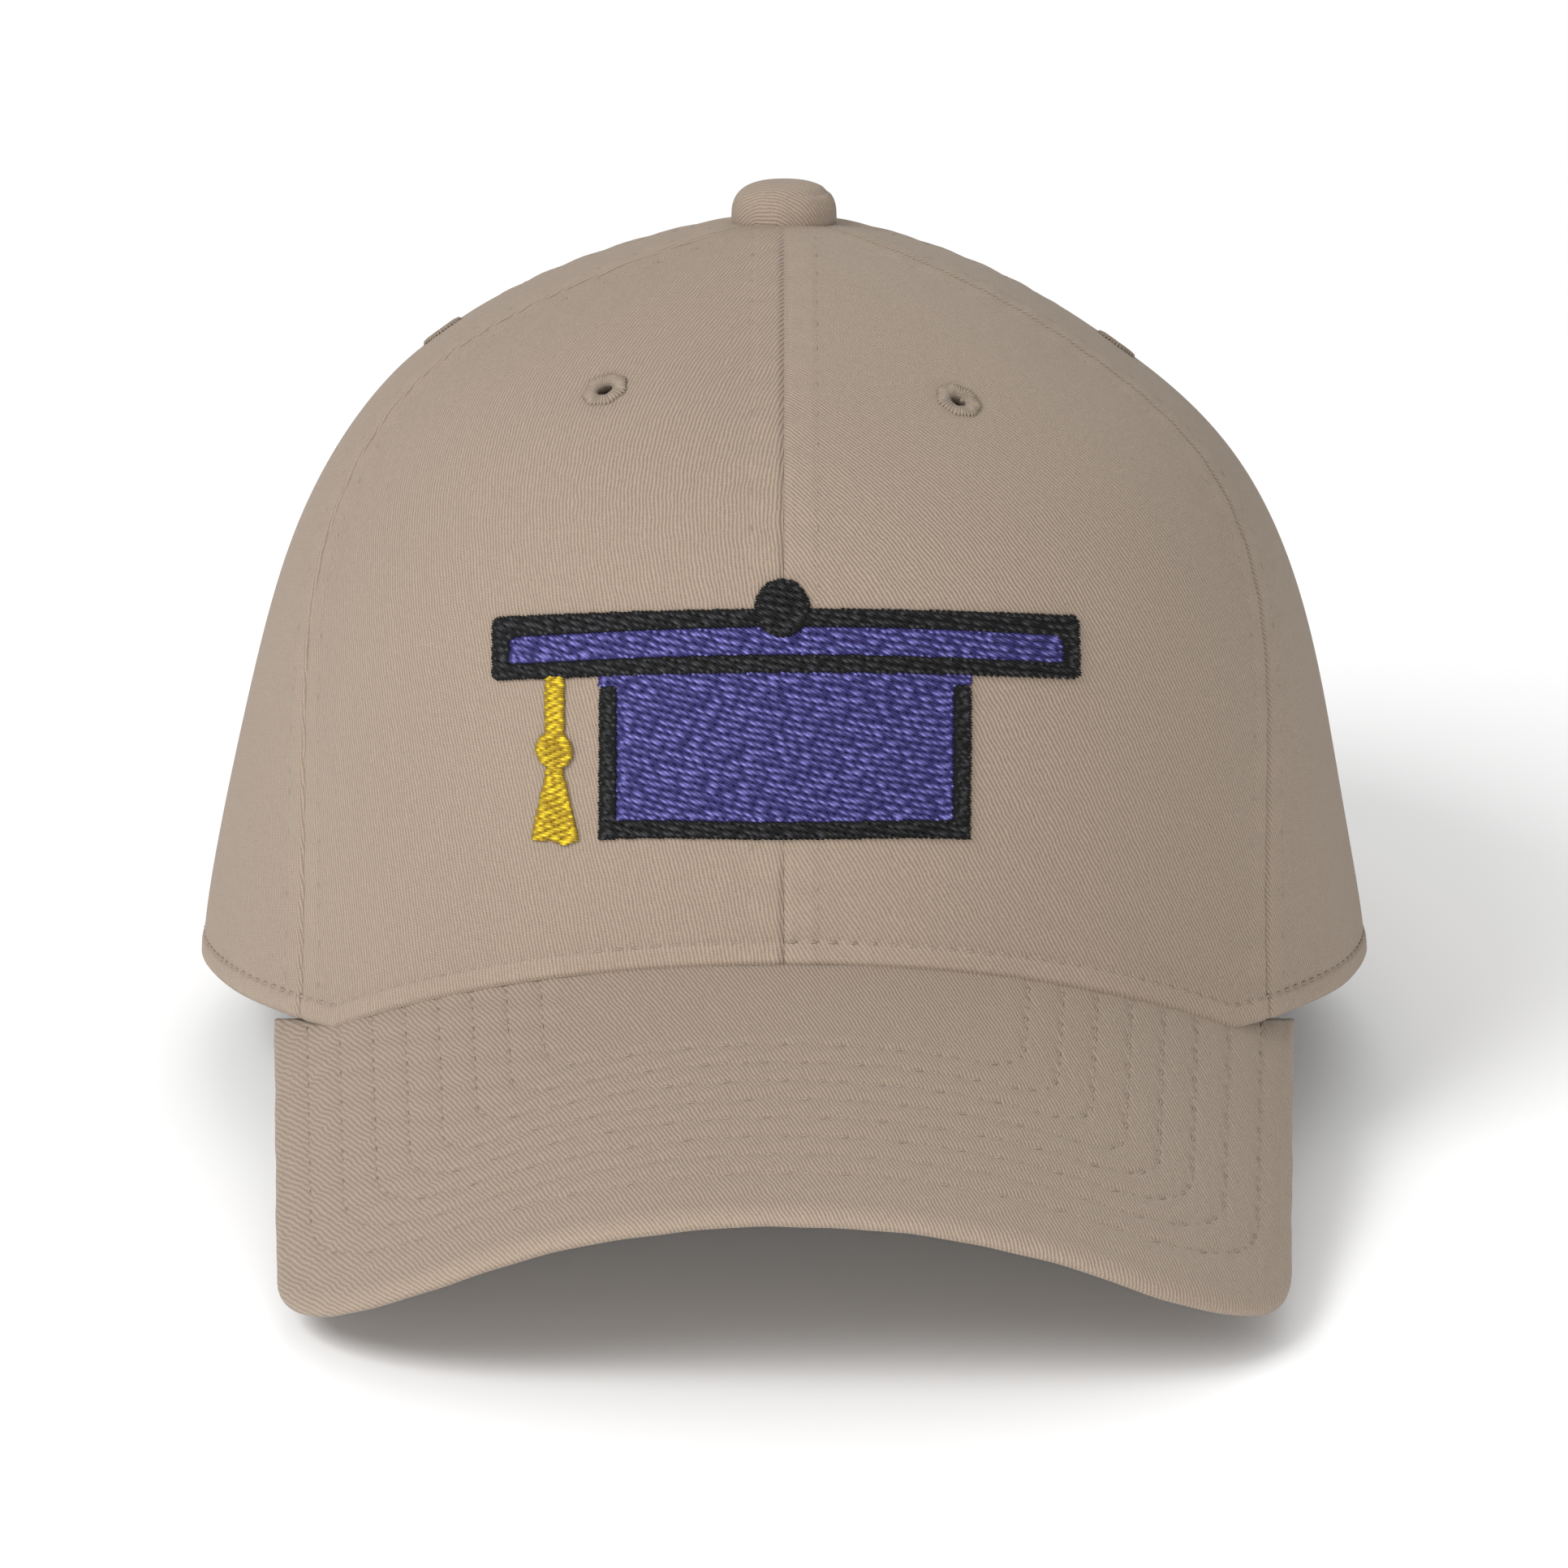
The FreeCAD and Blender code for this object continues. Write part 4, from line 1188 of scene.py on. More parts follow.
    def build(self) -> None:
        """Make the six panels."""
        plan = (("front_panel", FRONT_CENTER, FRONT_SIDE),
                ("side_panel", FRONT_SIDE, BACK_SIDE),
                ("back_panel", BACK_SIDE, BACK_CENTER))
        for name, near, far in plan:
            for side, side_name in SIDES:
                finish = Finish.SIDE_TWILL
                if name == "front_panel":
                    finish = Finish.LEFT_TWILL if side < 0 else Finish.RIGHT_TWILL
                self.panel(f"{name}_{side_name}", near, far, side, finish)

    def panel(self, node: str, near: Seam, far: Seam, side: int, finish: Finish) -> None:
        """Make one panel.

        Args:
            node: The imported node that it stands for.
            near: The seam nearer the front.
            far: The seam nearer the back.
            side: -1 for the left of the front view, 1 for its right.
            finish: The cloth.
        """
        at = self.placing(near, far, side)
        height = self.pressed(self.crown.bare(at.degrees, at.level), self.relief(at))
        outer = self.crown.surface(at.degrees, at.level, height)
        under = np.minimum(-self.thickness + 0.25 * np.maximum(height, -1.0), height - 0.4)
        inner = self.crown.surface(at.degrees, at.level, under)
        middle = 0.25 * (outer[:-1, :-1] + outer[1:, :-1] + outer[:-1, 1:] + outer[1:, 1:])
        keep = np.ones(middle.shape[:2], bool)
        for hole in self.holes:
            keep &= hole.distance(self.crown, middle) > self.hole_radius
        cloth = np.stack([at.across, at.climb], -1)
        worn = np.clip(height * 0.8, 0.0, 0.35) + 0.5 * np.exp(-at.above_edge / 0.9)
        surface = Surface.closed(outer, inner, cloth, worn, keep)
        self.room.piece(f"cloth_{node}", surface, finish, node)


@dataclass
class CrownSewing:
    """Every row of stitching on the crown, one small thread loop per stitch."""

    crown: Crown
    cloth: CrownCloth
    room: Workroom
    length: float = 2.3
    half_width: float = 0.23
    half_height: float = 0.15
    sink: float = 0.12
    arch: float = 0.22
    steps: int = 5
    top_radius: float = 11.5
    gap_above_edge: float = 5.0

    def runs(self, degrees: Array, level: Array, first: int) -> Surface:
        """Stitches along rows of angles and levels, stitch by step.

        Args:
            degrees: Angle round the oval from the middle of the front.
            level: Share of the height, from 0 at the hem to 1 at the top.
            first: Number of the first stitch, which sets its shade.

        Returns:
            The row of stitches.
        """
        share = np.linspace(0.0, 1.0, self.steps)
        height = -self.sink - 0.22 + (self.arch + 0.1) * np.sin(math.pi * share)
        paths = self.crown.surface(degrees, level, height[None, :])
        normals = self.crown.normal(degrees, level)
        numbers = first + np.arange(len(degrees)) * 1.7
        return Surface.stitches(paths, normals, self.half_width, self.half_height, numbers)

    def seam_row(self, seam: Seam, side: int, offset: float) -> Surface:
        """One row beside a seam, `offset` mm from it.

        Args:
            seam: The seam.
            side: -1 for the left of the front view, 1 for its right.
            offset: Distance from the seam in mm, either way.

        Returns:
            The row of stitches.
        """
        crown, edge = self.crown, self.cloth.edge
        hem = side * seam.degrees(0.0) + math.degrees(offset / ROUND_RADIUS)
        start = float(crown.climb_at(edge.level(np.array([hem])))[0]) + self.gap_above_edge
        level = np.linspace(0.6, 0.999, 400)
        reach = np.linalg.norm(crown.bare(side * seam.degrees(level), level)[:, :2]
                               - np.array([0.0, crown.top_shift]), axis=1)
        end = float(crown.climb_at(np.interp(-self.top_radius, -reach, level)))
        pitch = self.cloth.stitch_pitch
        begins = np.arange(start, end - self.length, pitch)
        climb = begins[:, None] + np.linspace(0.0, self.length, self.steps)[None, :]
        level = crown.level_at(climb)
        degrees = crown.beside(side * seam.degrees(level), level, offset)
        return self.runs(degrees, level, int(abs(offset) * 10 + hem))

    def hem_row(self) -> Surface:
        """The row round the hem and over the visor.

        Returns:
            The row of stitches.
        """
        turn = np.linspace(0.0, 360.0, 1441)
        edge = self.cloth.edge.level((turn + 180.0) % 360.0 - 180.0)
        level = self.crown.level_at(self.crown.climb_at(edge) + self.cloth.hem_row)
        along = run_length(self.crown.bare(turn, level))
        begins = np.arange(0.0, along[-1] - self.length, self.cloth.stitch_pitch)
        place = begins[:, None] + np.linspace(0.0, self.length, self.steps)[None, :]
        degrees = np.interp(place, along, turn)
        share = np.linspace(0.0, 1.0, self.steps)
        height = -self.sink - 0.2 + (self.arch + 0.2) * np.sin(math.pi * share)
        level = np.interp(place, along, level)
        paths = self.crown.surface(degrees, level, height[None, :])
        return Surface.stitches(paths, self.crown.normal(degrees, level), self.half_width,
                                self.half_height, np.arange(len(begins)) * 2.3)

    def build(self) -> None:
        """Sew the seams and the hem."""
        reach = self.cloth.seam_reach
        rows = [("front_center_topstitch", FRONT_CENTER, 1),
                ("back_center_topstitch", BACK_CENTER, 1),
                ("front_topstitch_left", FRONT_SIDE, -1),
                ("front_topstitch_right", FRONT_SIDE, 1),
                ("back_topstitch_left", BACK_SIDE, -1),
                ("back_topstitch_right", BACK_SIDE, 1)]
        for node, seam, side in rows:
            pair = [self.seam_row(seam, side, reach), self.seam_row(seam, side, -reach)]
            self.room.piece(f"sewn_{node}", Surface.joined(pair), Finish.SEWING, node,
                            tidy=True)
        self.room.piece("sewn_hem_topstitch", self.hem_row(), Finish.SEWING,
                        "hem_topstitch", tidy=True)


@dataclass
class Eyelets:
    """Thread-worked ventilation eyelets."""

    crown: Crown
    room: Workroom
    holes: list[Hole]
    inner: float = 1.35
    outer: float = 3.9
    count: int = 36
    sleeve: float = 2.0

    def build(self) -> None:
        """Work every eyelet."""
        for hole in self.holes:
            self.eyelet(hole)

    def eyelet(self, hole: Hole) -> None:
        """Work one eyelet: a padded ring with radial stitches over it.

        Args:
            hole: Where the eyelet sits.
        """
        middle = self.crown.surface(hole.degrees, hole.level)
        out = self.crown.normal(np.array(hole.degrees), np.array(hole.level))
        right = unit(np.cross(np.array([0.0, 0.0, 1.0]), out))
        up = np.cross(out, right)
        turn = np.linspace(0.0, 2.0 * math.pi, 72, endpoint=False)
        spoke = np.cos(turn)[:, None] * right + np.sin(turn)[:, None] * up
        profile = np.array([[self.inner, -0.35], [self.inner + 0.3, -0.05], [2.6, 0.05],
                            [self.outer - 0.5, -0.1], [self.outer - 0.1, -0.5],
                            [2.3, -0.5], [2.3, -self.sleeve], [self.inner, -self.sleeve]])
        grid = (middle + profile[:, None, :1] * spoke[None] + profile[:, None, 1:] * out)
        ring = Surface.ring(grid, np.zeros(grid.shape[:2] + (2,)) + [0.9, 0.3])
        turn = np.arange(self.count) * 2.0 * math.pi / self.count
        jitter = 0.16 * np.sin(turn * 7.0 + hole.degrees)
        spoke = np.cos(turn)[:, None] * right + np.sin(turn)[:, None] * up
        reach = np.array([self.inner - 0.05, self.inner + 0.1, 1.9, 2.7, 3.4, self.outer])
        height = np.array([-1.1, -0.2, 0.18, 0.22, 0.08, -0.45])
        radius = reach[None, :] + jitter[:, None] * np.linspace(0.0, 1.0, 6)
        paths = middle + radius[..., None] * spoke[:, None] + height[:, None] * out
        half = radius * math.tan(math.pi / self.count) * 1.18
        worked = Surface.stitches(paths, np.broadcast_to(out, paths.shape).copy(), half,
                                  0.2, np.arange(self.count) * 1.1)
        self.room.piece(f"worked_{hole.name}", Surface.joined([ring, worked]),
                        Finish.EYELET, hole.name, tidy=True)


@dataclass
class Button:
    """The cloth-covered button on the top."""

    crown: Crown
    room: Workroom
    radius: float = 8.6
    height: float = 5.6
    rim_drop: float = 2.2
    cloth: float = 0.55

    def build(self) -> None:
        """Cover the button: a low dome with gathers where the cloth turns under."""
        share = np.sin(np.linspace(0.003, 0.497, 40) * math.pi)
        edge = np.array([1.0, 0.995, 0.97, 0.92, 0.84])
        radius = self.radius * np.concatenate([share * 0.998, edge])
        top = self.height * (1.0 - share ** 3.0) ** (1.0 / 2.3)
        height = np.concatenate([top, [-0.5, -1.0, -1.5, -1.9, -self.rim_drop + 0.1]])
        turn = np.linspace(0.0, 2.0 * math.pi, 144, endpoint=False)
        far = (radius / self.radius)[:, None]
        gather = 0.13 * np.sin(11.0 * turn + 0.6 * np.sin(3.0 * turn)) * far ** 6
        crease = -0.4 * bump(0.82, 0.05, far) * bump(0.0, 0.9, np.angle(
            np.exp(1j * (turn + 0.5))))
        rise = height[:, None] + gather + crease
        grid = np.stack([radius[:, None] * np.cos(turn), radius[:, None] * np.sin(turn)
                         + self.crown.top_shift, self.crown.height + rise], -1)
        inward = grid - np.array([0.0, self.crown.top_shift, self.crown.height - 1.0])
        inner = grid - unit(inward) * self.cloth
        run = np.cumsum(np.hypot(np.diff(radius, prepend=0.0),
                                 np.diff(height, prepend=height[0])))[:, None]
        cloth = np.stack([run * np.cos(turn), run * np.sin(turn)], -1)
        surface = Surface.closed(grid[::-1], inner[::-1], cloth[::-1], wrap=True)
        self.room.piece("cloth_button_cover", surface, Finish.BUTTON_TWILL, "button_cover",
                        tidy=True)


# ----------------------------------------------------------------------------------
# The visor
# ----------------------------------------------------------------------------------
@dataclass
class VisorCloth:
    """The visor's covers, its rolled edge and its rows of stitching."""

    crown: Crown
    visor: VisorShape
    room: Workroom
    cover: float = 0.9
    root_depth: float = 2.2
    flange: float = 3.2
    columns: int = 330
    deepest: float = 66.0
    pitch: float = 3.0
    stitch: float = 2.2
    half_width: float = 0.21
    half_height: float = 0.14
    stitch_sink: float = 0.33
    stitch_arch: float = 0.24
    steps: int = 5
    row_points: int = 2400
    end_columns: int = 3
    board_gap: float = 3.5

    def __post_init__(self) -> None:
        """Work out the root line once."""
        self.root = self.visor.root_line(self.crown, self.root_depth)

    def row_insets(self) -> Array:
        """Insets of the stitch rows."""
        shape = self.visor
        return shape.first_row_side + shape.row_spacing * np.arange(shape.row_count)

    def insets(self, start: float) -> Array:
        """Insets of the grid's lines, dense round every stitch row.

        Args:
            start: The first inset in mm.

        Returns:
            The insets, from the edge inwards.
        """
        near = np.array([-2.6, -1.8, -1.1, -0.6, -0.25, 0.0, 0.25, 0.6, 1.1, 1.8])
        lines = (self.row_insets()[:, None] + near[None, :]).ravel()
        outer = np.linspace(start, lines[0] - 0.4, 4)
        beyond = np.linspace(lines[-1] + 1.0, self.deepest, 16)
        lines = np.concatenate([outer, lines, beyond])
        return lines[lines >= start]

    def relief(self, insets: Array, along: Array) -> Array:
        """Height of the sewn cloth: a groove at each row and soft puffs between.

        Args:
            insets: Distance inside the edge of each of the grid's lines.
            along: Distance along each line, in mm.

        Returns:
            The height at each point in mm.
        """
        rows = self.row_insets()
        away = np.min(np.abs(insets[:, None] - rows[None, :]), 1)[:, None]
        inside = smooth(rows[0] - 3.2, rows[0] - 2.4, insets)
        inside = (inside * (1.0 - smooth(rows[-1] + 2.0, rows[-1] + 4.5, insets)))[:, None]
        dents = 0.6 + 0.4 * np.cos(2.0 * math.pi * along / self.pitch)
        puff = 0.11 * (1.0 - np.exp(-(away / 1.3) ** 2))
        pull = 0.07 * np.sin(2.0 * math.pi * along / 8.3 + insets[:, None] * 1.9)
        return inside * (puff + pull - 0.14 * np.exp(-(away / 0.4) ** 2) * dents) - 0.05

    def grid(self, insets: Array, lifts: Array) -> tuple[Array, Array, Array]:
        """Points, flat points and distance along, for rows of insets and lifts.

        Args:
            insets: Distance inside the edge of each row.
            lifts: Distance above the visor's surface, per point or for all.

        Returns:
            The points, the flat points and the distance along each row.
        """
        flat = np.stack([self.visor.loop(self.root, max(m, 0.0), self.columns)
                         for m in insets])
        along = run_length(flat, axis=1)
        along = along - 0.5 * along[:, -1:]
        return self.visor.place(self.crown, flat, lifts), flat, along

    def build(self) -> None:
        """Make the covers and the stitch rows."""
        radius = 0.5 * self.visor.thickness
        turn = np.linspace(0.0, math.pi, 15)
        lines = self.insets(radius + 0.45)
        lip = radius * (1.0 - np.sin(turn[1:-1]))
        drop = -radius * (1.0 - np.cos(turn[1:-1]))
        under = np.array([radius, 2.4, self.flange])
        insets = np.concatenate([lines[::-1], [radius], lip, under])
        _, _, along = self.grid(lines, 0.0)
        top = self.relief(lines, along)
        blank = np.zeros((1, self.columns))
        curl = 0.10 * np.sin(along[:1] / 4.1) + 0.06 * np.sin(along[:1] / 1.7)
        bead = drop[:, None] + curl * np.sin(turn[1:-1])[:, None]
        hem = np.broadcast_to([[-2.0 * radius]] * 3, (3, self.columns))
        lifts = np.concatenate([top[::-1], blank, bead, hem])
        outer, flat, along = self.grid(insets, lifts)
        thin = radius - self.cover
        inner_lip = radius - thin * np.sin(turn[1:-1])
        inner_drop = -radius + thin * np.cos(turn[1:-1])
        inner_insets = np.concatenate([lines[::-1], [radius], inner_lip, under])
        flat_rows = len(lines) + 1
        inner_lifts = np.concatenate([np.full(flat_rows, -self.cover), inner_drop,
                                      np.full(3, -2.0 * radius + self.cover)])
        inner, _, _ = self.grid(inner_insets, inner_lifts[:, None]
                                * np.ones((1, self.columns)))
        worn = np.zeros(outer.shape[:2])
        worn[flat_rows:-3] = 0.35 * np.sin(turn[1:-1])[:, None]
        worn[:len(lines)] += np.clip(top[::-1], 0.0, 1.0) * 0.5
        cloth = flat.copy()
        cloth[flat_rows:, :, 1] += lifts[flat_rows:]
        surface = Surface.closed(outer, inner, cloth, worn)
        self.room.piece("cloth_visor_top", surface, Finish.VISOR_TWILL, "visor_top_cover",
                        tidy=True)
        self.under_cover(2.0 * radius)
        self.board(2.0 * radius)
        self.stitch_rows()

    def under_cover(self, depth: float) -> None:
        """The lower cover, inside the turned edge of the upper one.

        Args:
            depth: Distance of the under side below the upper one.
        """
        lines = self.insets(self.flange - 0.3)
        _, _, along = self.grid(lines, 0.0)
        lift = -depth - self.relief(lines, along)
        lift[0] += 0.35
        outer, flat, _ = self.grid(lines, lift)
        fold = np.full_like(lift, self.cover - depth)
        fold[:, :self.end_columns] = -self.cover
        fold[:, -self.end_columns:] = -self.cover
        inner, _, _ = self.grid(lines, fold)
        surface = Surface.closed(outer, inner, flat)
        self.room.piece("cloth_visor_under", surface, Finish.VISOR_TWILL,
                        "visor_under_cover", tidy=True)

    def board(self, depth: float) -> None:
        """The stiff moulded board between the covers.

        Args:
            depth: Distance of the under side below the upper one.
        """
        lines = np.concatenate([[self.cover + 0.25, self.cover + 0.6],
                                np.linspace(4.0, self.deepest - 1.0, 40)])
        ease = np.full((len(lines), 1), 0.04)
        ease[0] = 0.55
        shorter = self.root - [0.0, self.board_gap]
        flat = np.stack([self.visor.loop(shorter, m, self.columns) for m in lines])
        upper = self.visor.place(self.crown, flat, -self.cover - ease)
        lower = self.visor.place(self.crown, flat, self.cover - depth + ease)
        self.room.piece("moulded_visor_board", Surface.closed(upper, lower, flat),
                        Finish.BOARD, "visor_board", tidy=True)

    def stitch_rows(self) -> None:
        """Every stitch of every row."""
        rows = []
        for number, inset in enumerate(self.row_insets()):
            line = self.visor.loop(self.root, inset, self.row_points)
            along = run_length(line)
            begins = np.arange(1.0, along[-1] - self.stitch, self.pitch)
            place = begins[:, None] + np.linspace(0.0, self.stitch, self.steps)[None, :]
            flat = np.stack([np.interp(place, along, line[:, 0]),
                             np.interp(place, along, line[:, 1])], -1)
            share = np.linspace(0.0, 1.0, self.steps)[None, :]
            lift = -self.stitch_sink + self.stitch_arch * np.sin(math.pi * share)
            paths = self.visor.place(self.crown, flat, lift * np.ones_like(place))
            rows.append(Surface.stitches(paths, self.visor.normal(flat), self.half_width,
                                         self.half_height, 31.0 * number
                                         + np.arange(len(begins)) * 1.3))
        self.room.piece("sewn_visor_rows", Surface.joined(rows), Finish.SEWING,
                        "visor_stitch_rows", tidy=True)


# ----------------------------------------------------------------------------------
# Inside the crown
# ----------------------------------------------------------------------------------
@dataclass
class Lining:
    """Stiffening, tapes, sweatband and label, layer by layer under the cloth."""

    crown: Crown
    edge: Edge
    cloth: CrownCloth
    room: Workroom
    tape_half: float = 8.0
    band_height: float = 34.0
    band_front_height: float = 24.0
    binding_height: float = 3.0
    band_start: float = 0.8
    cloth_depth: float = 1.05
    buckram_depth: float = 1.75
    hem_tape_depth: float = 2.35
    padding_depth: float = 3.15

    def build(self) -> None:
        """Make every inner layer."""
        for side, name in SIDES:
            self.buckram(f"front_buckram_{name}", side)
        self.tape("front_center_seam_tape", FRONT_CENTER, 1, self.buckram_depth)
        self.tape("back_center_seam_tape", BACK_CENTER, 1, self.cloth_depth)
        for side, name in SIDES:
            self.tape(f"front_seam_tape_{name}", FRONT_SIDE, side, self.cloth_depth)
            self.tape(f"back_seam_tape_{name}", BACK_SIDE, side, self.cloth_depth)
        self.band()
        self.label()

    def buckram(self, node: str, side: int) -> None:
        """Open-weave stiffening behind one front panel.

        Args:
            node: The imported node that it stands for.
            side: -1 for the left of the front view, 1 for its right.
        """
        at = self.cloth.placing(FRONT_CENTER, FRONT_SIDE, side, 90)
        rows = slice(9, -6)
        degrees, level = at.degrees[rows], at.level[rows]
        relief = 0.12 * np.sin(at.across[rows] / 7.0) * np.sin(at.climb[rows] / 9.0)
        outer = self.crown.surface(degrees, level, -self.cloth_depth)
        inner = self.crown.surface(degrees, level, -1.65 + 0.3 * relief)
        middle = 0.5 * (outer[:-1, :-1] + outer[1:, 1:])
        keep = np.ones(middle.shape[:2], bool)
        for hole in self.cloth.holes:
            keep &= hole.distance(self.crown, middle) > self.cloth.hole_radius + 0.9
        cloth = np.stack([at.across[rows], at.climb[rows]], -1)
        self.room.piece(f"stiffening_{node}", Surface.closed(inner, outer, cloth, None, keep),
                        Finish.BUCKRAM, node, tidy=True)

    def tape(self, node: str, seam: Seam, side: int, depth: float) -> None:
        """Woven tape over one seam, sewn along both edges.

        Args:
            node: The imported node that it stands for.
            seam: The seam that it covers.
            side: -1 for the left of the front view, 1 for its right.
            depth: Depth of its outer side under the crown's surface.
        """
        climb = np.linspace(9.5, float(self.crown.climb_at(0.978)), 240)
        level = self.crown.level_at(climb)[:, None]
        offset = np.linspace(-self.tape_half, self.tape_half, 29)[None, :]
        degrees = self.crown.beside(side * seam.degrees(level), level, offset)
        edges = np.abs(np.abs(offset) - self.tape_half + 1.3)
        dents = 0.5 + 0.5 * np.cos(2.0 * math.pi * climb[:, None] / self.cloth.stitch_pitch)
        relief = 0.28 * smooth(0.0, 1.2, edges) - 0.2 * dents * np.exp(-(edges / 0.4) ** 2)
        relief = relief + 0.3 * bump(0.0, 2.2, offset) + 0.08 * np.sin(climb[:, None] / 2.9)
        outer = self.crown.surface(degrees, level, -depth)
        inner = self.crown.surface(degrees, level, -depth - 0.45 - relief)
        cloth = np.stack(np.broadcast_arrays(offset, climb[:, None]), -1)
        self.room.piece(f"bound_{node}", Surface.closed(inner, outer, cloth), Finish.TAPE,
                        node, tidy=True)

    def ring(self, low: Array, high: Array, rows: int, outer_depth: float,
             relief: Callable[[Array, Array], Array], turn: Array) -> Surface:
        """Closed ring inside the crown between two heights at every angle.

        Args:
            low: Lower height in mm at every angle.
            high: Upper height in mm at every angle.
            rows: How many rows of points.
            outer_depth: Depth of its outer side.
            relief: Depth of its seen side, from share of height and place round.
            turn: Angles from the middle of the front, in degrees.

        Returns:
            The ring.
        """
        share = np.linspace(0.0, 1.0, rows)[:, None]
        height = low[None, :] + (high - low)[None, :] * share
        level = height / self.crown.height
        degrees = np.broadcast_to(turn[None, :], level.shape)
        around = np.radians(degrees) * ROUND_RADIUS
        outer = self.crown.surface(degrees, level, -outer_depth)
        inner = self.crown.surface(degrees, level, -relief(share, around))
        cloth = np.stack([around, height], -1)
        return Surface.closed(inner, outer, cloth, wrap=True)

    def heights(self, turn: Array) -> tuple[Array, Array]:
        """Lower and upper height of the sweatband at every angle.

        Args:
            turn: Angles from the middle of the front, in degrees.

        Returns:
            Both heights in mm at every angle.
        """
        wrapped = (turn + 180.0) % 360.0 - 180.0
        floor = self.edge.level(wrapped) * self.crown.height
        point = self.crown.bare(wrapped, np.full_like(wrapped, 0.3))
        over = self.edge.visor.height(self.crown, point) + self.band_front_height
        over = np.where(np.abs(wrapped) < 90.0, over, 0.0)
        top = np.maximum(self.band_height, over)
        return floor + self.band_start, top

    def band(self) -> None:
        """The hem tape, the padding, the sweatband and its top binding."""
        turn = np.linspace(0.0, 360.0, 480, endpoint=False)
        low, high = self.heights(turn)
        binding = high - self.binding_height
        self.room.piece("bound_hem_tape", self.ring(
            low - 0.2, low + 7.4, 10, self.cloth_depth,
            lambda share, around: 2.1 + 0.1 * np.sin(around / 3.0) * np.sin(3.1 * share),
            turn), Finish.TAPE, "hem_tape", tidy=True)
        pad = self.room.piece("felt_sweatband_padding", self.ring(
            low + 0.5, binding - 0.5, 24, self.hem_tape_depth,
            lambda share, around: 3.05 + 0.05 * np.sin(around / 6.0), turn),
            Finish.PADDING, "sweatband_padding", tidy=True)
        self.room.piece("cloth_sweatband_face", self.ring(
            low - 0.1, binding, 40, self.padding_depth,
            lambda share, around: 3.75 + 0.5 * np.sin(math.pi * share) ** 0.7
            + 0.22 * np.sin(around / 8.7 + 3.0 * share) * np.sin(math.pi * share)
            - 0.3 * bump(0.12, 0.02, share), turn),
            Finish.BAND, "sweatband_face", tidy=True)
        self.room.piece("bound_sweatband_top", self.ring(
            binding + 0.02, high, 16, self.hem_tape_depth,
            lambda share, around: 4.1 + 0.5 * np.sin(math.pi * share)
            + 0.12 * np.cos(2.0 * math.pi * around / self.cloth.stitch_pitch)
            * bump(0.25, 0.1, share), turn),
            Finish.TAPE, "sweatband_top_binding", tidy=True)

    def label(self, half_width: float = 18.0, bottom: float = 8.0, top: float = 28.0) -> None:
        """The blank satin label behind the rear seam, curling a little off the band.

        Args:
            half_width: Half its width in mm.
            bottom: Height of its lower edge.
            top: Height of its upper edge.
        """
        across = np.linspace(-half_width, half_width, 60)[None, :]
        height = np.linspace(bottom, top, 36)[:, None]
        level = height / self.crown.height * np.ones_like(across)
        degrees = 180.0 + np.degrees(across / LABEL_RADIUS) * np.ones_like(height)
        edge = smooth(half_width - 2.0, half_width, np.abs(across))
        fold = 0.5 * edge * bump(0.5 * (bottom + top), 12.0, height)
        sag = 0.2 * np.sin(math.pi * (height - bottom) / (top - bottom))
        shown = self.crown.surface(degrees, level, -4.55 - sag - fold)
        hidden = self.crown.surface(degrees, level, -4.30 - sag - 0.9 * fold)
        cloth = np.stack(np.broadcast_arrays(across, height), -1)
        self.room.piece("satin_blank_label", Surface.closed(shown, hidden, cloth),
                        Finish.LABEL, "blank_label", tidy=True)


